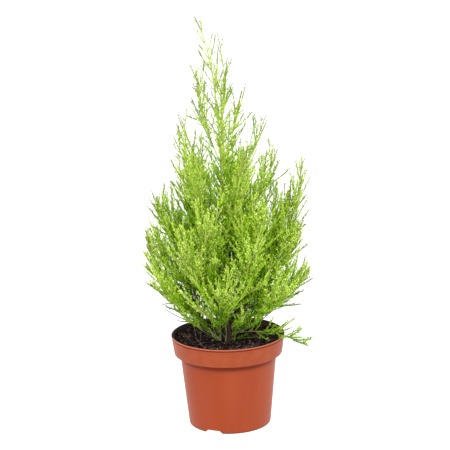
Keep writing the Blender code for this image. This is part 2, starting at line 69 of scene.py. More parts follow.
FLOOR_LIFT = 3.6 * MM
STEP_DROP = 2.2 * MM
STEP_RISE = 1.1 * MM
BEAD_HEIGHT = 1.4 * MM
BEAD_STAND = 0.35 * MM
GROOVE_HEIGHT = 1.1 * MM
GROOVE_DEPTH = 0.7 * MM
GROOVE_SLANT = 0.2 * MM
FOOT_ROUND = 1.2 * MM
STEP_ROUND = 0.5 * MM
COLLAR_ROUND = 0.7 * MM
RIM_ROUND = 0.65 * MM
LEDGE_ROUND = 1.2 * MM
NOTCH_WIDTH = 22.0 * MM
NOTCH_TOP_WIDTH = 13.0 * MM
NOTCH_HEIGHT = 3.3 * MM
NOTCH_AZIMUTHS = [math.radians(a) for a in (246, 3, 125)]
DRAIN_RADIUS = 4.5 * MM
DRAIN_INSET = 10.0 * MM
CUT_PAST = 1.0 * MM
TERRACOTTA = (0.272, 0.042, 0.0115, 1)
TERRACOTTA_PALE = (0.298, 0.053, 0.0180, 1)
# The collar's outside is a paler copy of the same plastic: painted light where it catches the light
LIT_COLLAR_TERRACOTTA = (0.272, 0.049, 0.0150, 1)
LIT_COLLAR_PALE = (0.305, 0.063, 0.0250, 1)
# A painted highlight along the top of the front lip
LIP_HIGHLIGHT_COLOUR = (0.380, 0.095, 0.0520, 1)
# How much painted shade darkens the plastic at each height in millimetres: a painted shadow in the
# corner under the collar, painted shade in the groove under the rim's bead, and along the foot
PAINTED_SHADES = [
    (0.0, 0.18), (0.9, 0.26), (1.5, 1.0), (67.5, 1.0), (70.3, 0.90), (72.0, 0.58), (73.1, 0.40),
    (77.4, 0.30), (77.7, 1.0), (94.7, 1.0), (95.0, 0.36), (96.0, 0.36), (96.3, 1.0),
]
# Red fades least in the shade, and blue most
SHADE_POWERS = (0.65, 1.0, 1.2)
# Peat stain and painted shade on the wall's inside over the soil and on the back of the lip
STAIN_AND_SHADE_DARK = (0.016, 0.004, 0.003, 1)
STAIN_AND_SHADE_RED = (0.085, 0.016, 0.008, 1)
STAIN_AND_SHADE_ABOVE = 60.0 * MM
STAIN_AND_SHADE_LIP_FROM = -14.0 * MM
FACING_IN = -0.3
LIP_DEPTH = 0.9 * MM
# How far above the collar's foot the painted light starts
COLLAR_PAINTED_LIGHT_ABOVE = 1.5 * MM


def smoothed(mesh, sharp_over):
    """Shades a mesh smooth, but for the edges that turn by more than this many degrees."""
    mesh.shade_smooth()
    mesh.set_sharp_from_angle(angle=math.radians(sharp_over))


def placed(name, data):
    """A new object with this data, put in the scene."""
    thing = bpy.data.objects.new(name, data)
    bpy.context.scene.collection.objects.link(thing)
    return thing


def add_mesh(name, verts, faces, material, sharp_over=None):
    """A piece from vertices and faces, turned outward."""
    mesh = bpy.data.meshes.new(name)
    mesh.from_pydata([tuple(v) for v in verts], [], faces)
    shape = bmesh.new()
    shape.from_mesh(mesh)
    bmesh.ops.recalc_face_normals(shape, faces=shape.faces)
    shape.to_mesh(mesh)
    shape.free()
    mesh.materials.append(material)
    if sharp_over:
        smoothed(mesh, sharp_over)
    return placed(name, mesh)


def feed(node, **inputs):
    """Sets a node's inputs, named with _ for a space, to values or to other nodes' outputs."""
    for name, given in inputs.items():
        socket = node.inputs[name.replace("_", " ")]
        if isinstance(given, bpy.types.NodeSocket):
            node.id_data.links.new(given, socket)
        else:
            socket.default_value = given
    return node


def add_node(material, kind, **inputs):
    return feed(material.node_tree.nodes.new(f"ShaderNode{kind}"), **inputs)


def on_shader(material, **inputs):
    feed(material.node_tree.nodes["Principled BSDF"], **inputs)


def finish(name, colour, roughness, **inputs):
    """A new material of one colour and roughness."""
    material = bpy.data.materials.new(name)
    material.use_nodes = True
    on_shader(material, Base_Color=colour, Roughness=roughness, **inputs)
    return material


def noise_node(material, scale, detail=4, upright=1.0):
    """Noise in the piece's own space, drawn out upright where upright is small."""
    place = add_node(material, "TexCoord").outputs["Object"]
    mapping = add_node(material, "Mapping", Vector=place, Scale=(1, 1, upright))
    vector = mapping.outputs["Vector"]
    return add_node(material, "TexNoise", Vector=vector, Scale=scale, Detail=detail).outputs["Fac"]


def share_of_height(material, low, high):
    """0 at one height of the piece and 1 at another."""
    place = add_node(material, "TexCoord").outputs["Object"]
    height = add_node(material, "SeparateXYZ", Vector=place).outputs["Z"]
    return add_node(material, "MapRange", Value=height, From_Min=low, From_Max=high).outputs["Result"]


def colours_over(material, factor, stops):
    """Deals colours out over a factor, as (position, colour) stops."""
    ramp = add_node(material, "ValToRGB", Fac=factor)
    while len(ramp.color_ramp.elements) < len(stops):
        ramp.color_ramp.elements.new(0.5)
    for element, (position, colour) in zip(ramp.color_ramp.elements, stops):
        element.position = position
        element.color = colour
    return ramp.outputs["Color"]


def mixed(material, first, second, share, blend="MIX"):
    mix = add_node(material, "Mix")
    mix.data_type = "RGBA"
    mix.blend_type = blend
    return feed(mix, A=first, B=second, Factor=share).outputs["Result"]


def relief(material, height, depth, strength=1.0):
    bump = add_node(material, "Bump", Height=height, Distance=depth, Strength=strength)
    on_shader(material, Normal=bump.outputs["Normal"])


def gloss_between(material, factor, low, high):
    span = add_node(material, "MapRange", Value=factor, To_Min=low, To_Max=high)
    on_shader(material, Roughness=span.outputs["Result"])


def mottled(name, colour, roughness, stops, scale, detail=4, upright=1.0, depth=0.0, **inputs):
    """A material whose colours run over a noise, with relief by the same noise where it has depth."""
    material = finish(name, colour, roughness, **inputs)
    mottle = noise_node(material, scale, detail, upright)
    on_shader(material, Base_Color=colours_over(material, mottle, stops))
    if depth:
        relief(material, mottle, depth)
    return material


def plastic(name, full, pale, scale, upright):
    """Satin terracotta plastic, uneven in tone by a noise of this scale, with a faint grain, and
    darkened by height with painted shade.
    """
    material = finish(name, full, 0.42, Specular_IOR_Level=0.12)
    tone = colours_over(material, noise_node(material, scale, 5, upright), [(0.3, full), (0.7, pale)])
    stops = []
    for height, shade in PAINTED_SHADES:
        stops.append((height * MM / POT_HEIGHT, (*[shade**power for power in SHADE_POWERS], 1)))
    shades = colours_over(material, share_of_height(material, 0, POT_HEIGHT), stops)
    on_shader(material, Base_Color=mixed(material, tone, shades, 1, "MULTIPLY"))
    gloss_between(material, noise_node(material, 60, upright=0.3), 0.34, 0.50)
    relief(material, noise_node(material, 900, 2), 0.05 * MM, 0.5)
    return material


def stained_plastic():
    """The wall's inside over the soil and the back of the lip, damp and smeared with peat, and
    darkened further with painted shade.
    """
    stain_and_shade_stops = [(0.42, STAIN_AND_SHADE_DARK), (0.62, STAIN_AND_SHADE_RED)]
    material = mottled("stained_plastic", STAIN_AND_SHADE_RED, 0.7, stain_and_shade_stops, 55, 6)
    relief(material, noise_node(material, 400), 0.3 * MM)
    return material


def ring_of(radius, height, sides):
    turn = [2 * math.pi * i / sides for i in range(sides)]
    return [Vector((radius * math.cos(a), radius * math.sin(a), height)) for a in turn]


def skin(rings):
    """Verts and faces of a tube over these rings, with a flat face or a point at each end."""
    verts, faces, starts = [], [], []
    for ring in rings:
        starts.append(len(verts))
        verts += ring
    for a, b, low, high in zip(starts, starts[1:], rings, rings[1:]):
        n = max(len(low), len(high))
        for i in range(n):
            j = (i + 1) % n
            if len(low) == 1:
                faces.append((a, b + i, b + j))
            elif len(high) == 1:
                faces.append((a + i, a + j, b))
            else:
                faces.append((a + i, a + j, b + j, b + i))
    for start, ring in ((starts[0], rings[0]), (starts[-1], rings[-1])):
        if len(ring) > 2:
            faces.append(tuple(range(start, start + len(ring))))
    return verts, faces


def corner(before, at, after, radius, steps=5):
    """Points of a rounded corner in a profile of (radius, height)."""
    into = (Vector(before) - Vector(at)).normalized() * radius
    out = (Vector(after) - Vector(at)).normalized() * radius
    start, end, middle = Vector(at) + into, Vector(at) + out, Vector(at)
    points = []
    for i in range(steps + 1):
        t = i / steps
        points.append(tuple(start * (1 - t) ** 2 + middle * 2 * t * (1 - t) + end * t**2))
    return points


def pot_profile():
    """The wall from the middle of the floor out, up the outside and down the inside."""
    step = POT_HEIGHT - COLLAR_HEIGHT
    ring_inside = FOOT_RADIUS - 2 * WALL
    foot = (FOOT_RADIUS, 0)
    wall_top = (BODY_TOP_RADIUS, step - STEP_DROP)
    collar_foot = (COLLAR_FOOT_RADIUS, step + STEP_RISE)
    bead = POT_HEIGHT - BEAD_HEIGHT
    groove_low = (RIM_RADIUS - GROOVE_DEPTH, bead - GROOVE_HEIGHT + GROOVE_SLANT)
    groove_high = (RIM_RADIUS - GROOVE_DEPTH, bead - GROOVE_SLANT)
    wall_end = (RIM_RADIUS - BEAD_STAND, bead - GROOVE_HEIGHT)
    bead_foot = (RIM_RADIUS, bead)
    rim_outside = (RIM_RADIUS, POT_HEIGHT)
    rim_inside = (RIM_RADIUS - WALL, POT_HEIGHT)
    ledge = (COLLAR_FOOT_RADIUS - WALL, step + STEP_RISE + WALL)
    high = (BODY_TOP_RADIUS - WALL, step - STEP_DROP + WALL / 2)
    low = (FOOT_RADIUS + WALL_SPLAY - WALL, FLOOR_LIFT + WALL)
    return [
        (0, FLOOR_LIFT),
        (ring_inside, FLOOR_LIFT),
        (ring_inside, 0),
        *corner((ring_inside, 0), foot, wall_top, FOOT_ROUND),
        *corner(foot, wall_top, collar_foot, STEP_ROUND),
        *corner(wall_top, collar_foot, wall_end, COLLAR_ROUND),
        wall_end,
        groove_low,
        groove_high,
        bead_foot,
        *corner(bead_foot, rim_outside, rim_inside, RIM_ROUND),
        *corner(rim_outside, rim_inside, ledge, RIM_ROUND),
        *corner(rim_inside, ledge, high, LEDGE_ROUND),
        high,
        low,
        (0, FLOOR_LIFT + WALL),
    ]


def notch_cutter(azimuth):
    out = Vector((math.cos(azimuth), math.sin(azimuth), 0))
    side = Vector((-out.y, out.x, 0))
    low, high = NOTCH_WIDTH / 2, NOTCH_TOP_WIDTH / 2
    outline = [(-low, -CUT_PAST), (low, -CUT_PAST), (high, NOTCH_HEIGHT), (-high, NOTCH_HEIGHT)]
    reaches = (FOOT_RADIUS - 4 * WALL, FOOT_RADIUS + 3 * WALL)
    return skin([[out * reach + side * s + Vector((0, 0, z)) for s, z in outline] for reach in reaches])


def drain_cutter(azimuth):
    middle = Vector((math.cos(azimuth), math.sin(azimuth), 0)) * (FOOT_RADIUS - DRAIN_INSET)
    heights = (FLOOR_LIFT - CUT_PAST, FLOOR_LIFT + WALL + CUT_PAST)
    return skin([[middle + p for p in ring_of(DRAIN_RADIUS, z, 24)] for z in heights])


def cut_out(piece, cutters):
    """Cuts each cutter's shape from the piece and removes the cutters."""
    for cutter in cutters:
        cut = piece.modifiers.new("cut", "BOOLEAN")
        cut.operation = "DIFFERENCE"
        cut.solver = "EXACT"
        cut.object = cutter
    graph = bpy.context.evaluated_depsgraph_get()
    piece.data = bpy.data.meshes.new_from_object(piece.evaluated_get(graph))
    piece.modifiers.clear()
    for cutter in cutters:
        bpy.data.objects.remove(cutter)


pot_rings = []
for radius, height in pot_profile():
    pot_rings.append(ring_of(radius, height, POT_SIDES) if radius else [Vector((0, 0, height))])
pot_plastic = plastic("terracotta_plastic", TERRACOTTA, TERRACOTTA_PALE, 34, 0.12)
pot = add_mesh("nursery_pot", *skin(pot_rings), pot_plastic)
cutters = []
for azimuth in NOTCH_AZIMUTHS:
    cutters.append(add_mesh("notch", *notch_cutter(azimuth), pot_plastic))
    cutters.append(add_mesh("drain", *drain_cutter(azimuth), pot_plastic))
cut_out(pot, cutters)
pot.data.materials.clear()
pot.data.materials.append(pot_plastic)
# Peat stain and painted shade inside the wall
pot.data.materials.append(stained_plastic())
# The front lip's top gets a painted highlight
pot.data.materials.append(finish("worn_plastic", LIP_HIGHLIGHT_COLOUR, 0.45))
# The collar's outside: a paler copy of the plastic, painted light
pot.data.materials.append(plastic("collar_plastic", LIT_COLLAR_TERRACOTTA, LIT_COLLAR_PALE, 110, 1.0))
STAINED_AND_SHADED, HIGHLIT_LIP, LIT_COLLAR = 1, 2, 3
for face in pot.data.polygons:
    middle, out = face.center, face.center.xy.length
    facing = (face.normal.x * middle.x + face.normal.y * middle.y) / out if out else 0
    on_lip = middle.z > POT_HEIGHT - LIP_DEPTH
    # The wall's inside over the soil and the back of the lip: peat stain and painted shade
    if middle.z > STAIN_AND_SHADE_ABOVE and facing < FACING_IN or on_lip and middle.y > STAIN_AND_SHADE_LIP_FROM:
        face.material_index = STAINED_AND_SHADED
    # The rest of the lip's top, at the front: painted highlight
    elif on_lip:
        face.material_index = HIGHLIT_LIP
    # The collar's outside: painted light
    elif middle.z > POT_HEIGHT - COLLAR_HEIGHT + COLLAR_PAINTED_LIGHT_ABOVE:
        face.material_index = LIT_COLLAR
smoothed(pot.data, 38)
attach(pot, "root")
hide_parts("pot")

# The potting soil is moist brown peat, filled up to the collar and crumbly on top, with pale
# fibres and a few light bits in it.
SOIL_LEVEL = 89.0 * MM
SOIL_RADIUS = RIM_RADIUS - WALL - 0.5 * MM
SOIL_GAP = 0.3 * MM
SOIL_RINGS = 90
SOIL_SPOKES = 220
# Lumps of three sizes, as (how many in a metre, height in millimetres)
SOIL_LUMPS = [(90, 1.6), (230, 1.7), (600, 0.9)]
SOIL_SUNK = 0.2
WALL_HEAP = 2.6 * MM
BACK_HEAP = 2.4 * MM
BACK_HEAP_AZIMUTH = math.radians(130)
CRUMB_COUNT = 2000
BROWN_CRUMB_COUNT = 620
CRUMB_SIZES = (0.5 * MM, 3.3 * MM)
CRUMB_RARITY = 3.5
CRUMB_FLATNESS = 0.7
CRUMBS_WITHIN = 0.975
CRUMB_SMALLEST = 0.3 * MM
CRUMB_WIDTHS = (0.5, 1)
CRUMB_HEIGHTS = (0.4, 0.8)
CRUMB_CORNERS = (0.75, 1.15)
CRUMB_LIFT = 0.25
FIBRE_COUNT = 380
FIBRE_STEPS = 6
FIBRE_LENGTHS = (3, 11)
FIBRE_RADII = (0.10, 0.22)
FIBRE_LIFTS = (0.2, 0.8)
FIBRE_CURL = 0.5
FIBRES_START_WITHIN = 52 * MM
FIBRES_END_WITHIN = 54 * MM
FLECK_COUNT = 420
FLECK_SIZES = (0.30 * MM, 1.1 * MM)
PEAT_DARK = (0.0022, 0.0010, 0.0009, 1)
PEAT = (0.0075, 0.0036, 0.0030, 1)
PEAT_BROWN = (0.0460, 0.0215, 0.0170, 1)
PEAT_PALE = (0.2300, 0.1300, 0.1000, 1)
FIBRE_GREY = (0.190, 0.130, 0.115, 1)
FLECK_PALE = (0.42, 0.29, 0.24, 1)


def soil_height(x, y):
    """Lumpy, level where the stems come up, and heaped a little at the wall."""
    p = Vector((x, y, 0))
    lumps = sum(noise.noise(p * fineness) * height for fineness, height in SOIL_LUMPS)
    out = p.length / SOIL_RADIUS
    to_back = max(0, math.cos(math.atan2(y, x) - BACK_HEAP_AZIMUTH))
    return SOIL_LEVEL + (lumps - SOIL_SUNK) * MM + WALL_HEAP * out**6 + BACK_HEAP * to_back * out**2


def inner_radius(height):
    """The inside of the collar's wall at a height, less the soil's gap."""
    rise = height - (POT_HEIGHT - COLLAR_HEIGHT)
    return COLLAR_FOOT_RADIUS + (RIM_RADIUS - COLLAR_FOOT_RADIUS) * rise / COLLAR_HEIGHT - WALL - SOIL_GAP


def peat(name, dark, middle, light):
    stops = [(0.36, dark), (0.50, middle), (0.66, light)]
    material = mottled(name, middle, 0.9, stops, 700, 6, Specular_IOR_Level=0.12)
    gloss_between(material, noise_node(material, 300), 0.65, 1.0)
    relief(material, noise_node(material, 1500, 5), 0.5 * MM)
    return material


def soil_bed():
    """The soil's top, its edge against the wall, and the plug below it down to the floor."""
    low, step = FLOOR_LIFT + WALL + SOIL_GAP, POT_HEIGHT - COLLAR_HEIGHT - 2 * MM
    rings = [[Vector((0, 0, low))], ring_of(FOOT_RADIUS - WALL - SOIL_GAP, low, SOIL_SPOKES)]
    rings.append(ring_of(BODY_TOP_RADIUS - WALL - 0.4 * MM, step, SOIL_SPOKES))
    rings.append(ring_of(inner_radius(step + 4 * MM) - SOIL_GAP, step + 5 * MM, SOIL_SPOKES))
    for i in range(SOIL_RINGS):
        ring = ring_of(inner_radius(SOIL_LEVEL) * (1 - i / SOIL_RINGS), 0, SOIL_SPOKES)
        rings.append([Vector((p.x, p.y, soil_height(p.x, p.y))) for p in ring])
    rings.append([Vector((0, 0, soil_height(0, 0)))])
    return skin(rings)


def icosahedron():
    shape = bmesh.new()
    bmesh.ops.create_icosphere(shape, subdivisions=1, radius=1)
    verts = np.array([v.co[:] for v in shape.verts])
    faces = np.array([[v.index for v in f.verts] for f in shape.faces])
    shape.free()
    return verts, faces


def part_way(ends, share):
    """The value that is this share of the way from one end to the other."""
    return ends[0] + (ends[1] - ends[0]) * share


def scatter_crumbs(count, sizes, seed):
    """Verts and faces of many small angular lumps that lie half sunk on the soil."""
    draw = np.random.default_rng(seed)
    base, base_faces = icosahedron()
    verts, faces = [], []
    for _ in range(count):
        radius = inner_radius(SOIL_LEVEL) * CRUMBS_WITHIN * math.sqrt(draw.random())
        azimuth = draw.random() * 2 * math.pi
        x, y = radius * math.cos(azimuth), radius * math.sin(azimuth)
        size = part_way(sizes, draw.random() ** CRUMB_RARITY)
        size = min(size, max(SOIL_RADIUS - 0.6 * MM - radius, CRUMB_SMALLEST))
        turn = Matrix.Rotation(draw.random() * 6.28, 3, Vector(draw.normal(size=3)))
        stretch = np.array([1, draw.uniform(*CRUMB_WIDTHS), draw.uniform(*CRUMB_HEIGHTS)]) * size
        crumb = base * draw.uniform(*CRUMB_CORNERS, size=(len(base), 1)) * stretch @ np.array(turn)
        crumb[:, 2] *= CRUMB_FLATNESS
        faces.append(base_faces + len(verts) * len(base))
        verts.append(crumb + (x, y, soil_height(x, y) + CRUMB_LIFT * size))
    return np.concatenate(verts), np.concatenate(faces).tolist()


def skins(tubes):
    """Verts and faces of several tubes as one shape, from the rings of each."""
    verts, faces = [], []
    for rings in tubes:
        tube_verts, tube_faces = skin(rings)
        faces += [tuple(len(verts) + i for i in face) for face in tube_faces]
        verts += tube_verts
    return verts, faces


def scatter_fibres(count, seed):
    """Thin bent root and peat fibres that lie on the soil."""
    draw = random.Random(seed)
    fibres = []
    for _ in range(count):
        radius, azimuth = FIBRES_START_WITHIN * math.sqrt(draw.random()), draw.random() * 2 * math.pi
        point = Vector((radius * math.cos(azimuth), radius * math.sin(azimuth), 0))
        heading = draw.random() * 2 * math.pi
        length, thick = draw.uniform(*FIBRE_LENGTHS) * MM, draw.uniform(*FIBRE_RADII) * MM
        curl = draw.uniform(-FIBRE_CURL, FIBRE_CURL)
        rings = []
        for _ in range(FIBRE_STEPS):
            lift = soil_height(point.x, point.y) + draw.uniform(*FIBRE_LIFTS) * MM
            middle = Vector((point.x, point.y, lift))
            across = Vector((-math.sin(heading), math.cos(heading), 0))
            rings.append([middle + across * thick, middle - across * thick, middle + Vector((0, 0, thick))])
            heading += curl
            point = point + Vector((math.cos(heading), math.sin(heading), 0)) * length / FIBRE_STEPS
            if point.length > FIBRES_END_WITHIN:
                point *= FIBRES_END_WITHIN / point.length
        fibres.append(rings)
    return skins(fibres)


moist_peat = peat("moist_peat", PEAT_DARK, PEAT, PEAT_BROWN)
brown_peat = peat("brown_peat", PEAT, PEAT_BROWN, PEAT_PALE)
fibre_grey = finish("peat_fibre", FIBRE_GREY, 0.85)
fleck_pale = finish("pale_fleck", FLECK_PALE, 0.9)
soil = add_mesh("peat_soil", *soil_bed(), moist_peat, 60)
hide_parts("soil")
crumbs = add_mesh("peat_crumbs", *scatter_crumbs(CRUMB_COUNT, CRUMB_SIZES, 11), moist_peat)
brown_crumbs = add_mesh("brown_peat_crumbs", *scatter_crumbs(BROWN_CRUMB_COUNT, CRUMB_SIZES, 12), brown_peat)
fibres = add_mesh("peat_fibres", *scatter_fibres(FIBRE_COUNT, 21), fibre_grey)
flecks = add_mesh("pale_flecks", *scatter_crumbs(FLECK_COUNT, FLECK_SIZES, 31), fleck_pale)
for piece in (soil, crumbs, brown_crumbs, fibres, flecks):
    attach(piece, "root")

# The trunk is one young stem, red-brown and finely flaking below and green towards its tip. It
# flares at the soil and runs whole to where the leader's shoots fan out.
TRUNK_LINE = [(89, 2.0), (125, 0.6), (175, -1.0), (240, -1.6), (300, -2.8), (338, -5.4)]
TRUNK_FOOT, TRUNK_TIP = TRUNK_LINE[0][0] * MM, TRUNK_LINE[-1][0] * MM
TRUNK_SUNK = 2 * MM
TRUNK_RADII = (3.1 * MM, 0.8 * MM)
TAPER_POWER = 0.8
FLARE = 1.4 * MM
FLARE_HEIGHT = 7.0 * MM
BARK_SIDES = 28
BARK_RINGS = 150
RINGS_CROWD_LOW = 1.2
BARK_RELIEF = 0.30 * MM
FULL_RELIEF_FROM = 2 * MM
# How fine the bark's ridges and flakes are, as (round the trunk, up the trunk)
RIDGE_SCALES = (2.6, 45)
FLAKE_SCALES = (7, 300)
FLAKE_SHARE = 0.5
BARK_DARK = (0.014, 0.006, 0.004, 1)
BARK_RED = (0.042, 0.015, 0.009, 1)
BARK_PALE = (0.095, 0.045, 0.026, 1)
YOUNG_GREEN = (0.360, 0.520, 0.070, 1)
YOUNG_HEIGHTS = (150 * MM, 260 * MM)


def trunk_point(height):
    """The trunk's centre at a height, on a smooth curve through TRUNK_LINE."""
    line = [(h * MM, x * MM) for h, x in TRUNK_LINE]
    height = min(max(height, line[0][0]), line[-1][0])
    for i, (low, high) in enumerate(zip(line, line[1:])):
        if height <= high[0]:
            break
    before, after = line[max(i - 1, 0)], line[min(i + 2, len(line) - 1)]
    slope_in = (high[1] - before[1]) / (high[0] - before[0])
    slope_out = (after[1] - low[1]) / (after[0] - low[0])
    span = high[0] - low[0]
    t = (height - low[0]) / span
    x = (
        low[1] * (2 * t**3 - 3 * t**2 + 1)
        + slope_in * span * (t**3 - 2 * t**2 + t)
        + high[1] * (3 * t**2 - 2 * t**3)
        + slope_out * span * (t**3 - t**2)
    )
    return Vector((x, 0, height))


def trunk_radius(height):
    """It tapers evenly, with a flare over the roots."""
    share = (height - TRUNK_FOOT) / (TRUNK_TIP - TRUNK_FOOT)
    return part_way(TRUNK_RADII, share**TAPER_POWER) + FLARE * math.exp(-(height - TRUNK_FOOT) / FLARE_HEIGHT)


def bark_noise(a, height, fineness):
    around, up = fineness
    return noise.noise(Vector((math.cos(a) * around, math.sin(a) * around, height * up)))


def bark_ring(middle, radius, height):
    """One ring of the trunk, with upright ridges that wander, and flakes."""
    ring = []
    for side in range(BARK_SIDES):
        a = 2 * math.pi * side / BARK_SIDES
        rough = bark_noise(a, height, RIDGE_SCALES) + FLAKE_SHARE * bark_noise(a, height, FLAKE_SCALES)
        out = radius + rough * BARK_RELIEF * min(1, radius / FULL_RELIEF_FROM)
        ring.append(middle + Vector((math.cos(a), math.sin(a), 0)) * out)
    return ring


def trunk_bark():
    material = finish("flaking_bark", BARK_RED, 0.85)
    streaks = noise_node(material, 900, 6, 0.16)
    bark = colours_over(material, streaks, [(0.34, BARK_DARK), (0.5, BARK_RED), (0.68, BARK_PALE)])
    youth = share_of_height(material, *YOUNG_HEIGHTS)
    on_shader(material, Base_Color=mixed(material, bark, YOUNG_GREEN, youth))
    relief(material, streaks, 0.35 * MM)
    return material


trunk_rings = []
sunk_foot = SOIL_LEVEL - TRUNK_SUNK
for i in range(BARK_RINGS):
    height = part_way((sunk_foot, TRUNK_TIP), (i / (BARK_RINGS - 1)) ** RINGS_CROWD_LOW)
    level = max(height, TRUNK_FOOT)
    middle = trunk_point(height) + Vector((0, 0, height - level))
    trunk_rings.append(bark_ring(middle, trunk_radius(level), height))
trunk = add_mesh("bark_trunk", *skin(trunk_rings), trunk_bark(), 70)
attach(trunk, "root")
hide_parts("trunk")

# The boughs leave the trunk low down, or come up beside it, as thin bare olive stems. Each runs on
# as the stem of a plume of foliage, so the curves of the plumes are worked out here.
GOLDEN_ANGLE = math.radians(137.508)
UP = Vector((0, 0, 1))
SEAM = 0.3 * MM
SIDE_FOOT = Vector((-7.4 * MM, -0.6 * MM, SOIL_LEVEL + SEAM))
SIDE_FOOT_SPREAD = 3.9 * MM
SIDE_FOOT_PLUMES = ("skirt_4", "skirt_5", "skirt_6")
SIDE_FOOT_RISE = 9.0 * MM
BOUGH_TIP_RADIUS = 0.95 * MM
BARE_BOUGH_RADII = (0.630 * MM, 0.399 * MM)
BARE_BOUGH_SUNK = 0.02
TWIG_RELIEF = 0.16
# How fine the relief of boughs and twigs is, as (round the stem, up the stem)
TWIG_RELIEF_SCALES = (1.7, 500)
# How the plumes of a storey differ
HEIGHT_SPREAD = 15.0 * MM
TIP_SPREAD = 9.0 * MM
TURN_SPREAD = 7
REACH_SHARES = (0.92, 1.0)
# A storey is given by its foot's and tip's height and its reach in millimetres, how far out and up
# its stems bend, the share of each that is bare, and its blades' length and number
Storey = namedtuple(
    "Storey", "name count azimuth foot_height tip_height reach bow_out bow_up bare blade blades"
)
STOREYS = [
    Storey("skirt", 7, 8, 101, 153, 88.5, 0.50, 0.55, 0.26, 46, 7),
    Storey("lower", 7, 34, 122, 201, 86.0, 0.56, 0.44, 0.22, 48, 8),
    Storey("middle", 6, 186, 150, 242, 79.5, 0.62, 0.42, 0.0, 48, 8),
    Storey("upper", 5, 67, 190, 288, 60.0, 0.58, 0.38, 0.0, 44, 7),
    Storey("high", 4, 175, 236, 326, 45.0, 0.56, 0.42, 0.0, 36, 7),
    Storey("top", 4, 185, 288, 369, 26.0, 0.60, 0.38, 0.0, 30, 8),
]
Single = namedtuple("Single", "name foot_height bend tip bare blade blades")
SINGLES = [
    Single("shoulder", 136, (72, -3, 168), (81.5, -4, 287), 0.24, 36, 9),
    Single("rim", 97, (47, -24, 112), (82.5, -40, 93), 0.14, 26, 8),
    Single("twin", 318, (10, 4, 352), (-3, 4, 416), 0.0, 26, 8),
    Single("leader", 338, (-9, -1, 400), (-25, -2, 432), 0.0, 25, 9),
]
Plume = namedtuple("Plume", "name number in_crown on_trunk foot bend tip bare blade blades")
YOUNG_OLIVE = (0.270, 0.340, 0.070, 1)
YOUNG_DARK = (0.100, 0.110, 0.020, 1)
YOUNG_PALE = (0.52, 0.60, 0.25, 1)


def at(azimuth, reach, height):
    return Vector((math.cos(azimuth) * reach, math.sin(azimuth) * reach, height))


def storey_plumes(storey, first_number):
    """The plumes of one storey, evenly round the trunk but for small seeded differences."""
    made = []
    for i in range(storey.count):
        number = first_number + i
        draw = random.Random(number)
        name = f"{storey.name}_{i + 1}"
        azimuth = math.radians(storey.azimuth + 360 * i / storey.count)
        step = (3 * i) % storey.count / storey.count
        foot_height = storey.foot_height * MM + (step - 0.4) * HEIGHT_SPREAD
        tip_height, reach = storey.tip_height * MM, storey.reach * MM
        if storey.name != "skirt":
            azimuth += math.radians(draw.uniform(-TURN_SPREAD, TURN_SPREAD))
            tip_height += draw.uniform(-1, 1) * TIP_SPREAD
            reach *= draw.uniform(*REACH_SHARES)
        from_side = name in SIDE_FOOT_PLUMES
        if from_side:
            foot = SIDE_FOOT + at(azimuth, SIDE_FOOT_SPREAD, 0)
            tip_height += SIDE_FOOT_RISE
        else:
            foot = trunk_point(foot_height) + at(azimuth, trunk_radius(foot_height), 0)
        tip = at(azimuth, reach, tip_height)
        bend = foot.lerp(tip, storey.bow_out)
        bend.z = foot.z + (tip.z - foot.z) * storey.bow_up + from_side * SIDE_FOOT_RISE
        leafing = (storey.bare, storey.blade * MM, storey.blades)
        made.append(Plume(name, number, True, not from_side, foot, bend, tip, *leafing))
    return made


def all_plumes():
    made = []
    for storey in STOREYS:
        made += storey_plumes(storey, len(made))
    for one in SINGLES:
        bend, tip = (Vector(p) * MM for p in (one.bend, one.tip))
        foot = trunk_point(one.foot_height * MM)
        on_trunk = one.name != "leader"
        if on_trunk:
            azimuth = math.atan2(bend.y - foot.y, bend.x - foot.x)
            foot += at(azimuth, trunk_radius(foot.z), 0)
        leafing = (one.bare, one.blade * MM, one.blades)
        made.append(Plume(one.name, len(made), False, on_trunk, foot, bend, tip, *leafing))
    return made


def stem_point(stem, t):
    """A point of a stem's curve, from its foot at 0 to its tip at 1."""
    return stem.foot * (1 - t) ** 2 + stem.bend * 2 * t * (1 - t) + stem.tip * t**2


def stem_direction(stem, t):
    return ((stem.bend - stem.foot) * (1 - t) + (stem.tip - stem.bend) * t).normalized()


def across_and_over(direction):
    """A level unit vector across a direction, and one square to both."""
    across = direction.cross(UP)
    across = across.normalized() if across.length > 1e-4 else Vector((1, 0, 0))
    return across, across.cross(direction).normalized()


def ring_about(middle, direction, radius, sides, seed):
    """A ring round a stem, with a little relief where the seed isn't 0."""
    across, over = across_and_over(direction)
    around, up = TWIG_RELIEF_SCALES
    ring = []
    for i in range(sides):
        a = 2 * math.pi * i / sides
        out = across * math.cos(a) + over * math.sin(a)
        rough = TWIG_RELIEF * noise.noise(out * around + Vector((seed, seed, middle.z * up))) * bool(seed)
        ring.append(middle + out * radius * (1 + rough))
    return ring


def tapering(stem, reach, radii, count, sides, seed=0):
    """The rings of a reach of a stem, tapering between two radii."""
    rings = []
    for i in range(count):
        share = i / (count - 1)
        t, radius = part_way(reach, share), part_way(radii, share)
        rings.append(ring_about(stem_point(stem, t), stem_direction(stem, t), radius, sides, seed))
    return rings


plumes = all_plumes()
young_stops = [(0.30, YOUNG_DARK), (0.50, YOUNG_OLIVE), (0.66, YOUNG_PALE)]
young_bark = mottled("young_bark", YOUNG_OLIVE, 0.75, young_stops, 700, upright=0.4, depth=0.15 * MM)
for plume in plumes:
    if not plume.bare:
        continue
    rings = tapering(plume, (-BARE_BOUGH_SUNK, plume.bare), BARE_BOUGH_RADII, 26, 12, 1 + plume.number)
    bough = add_mesh(f"bare_bough_{plume.name}", *skin(rings), young_bark, 70)
    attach(bough, "root")
    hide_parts(f"bough_{plume.name}")

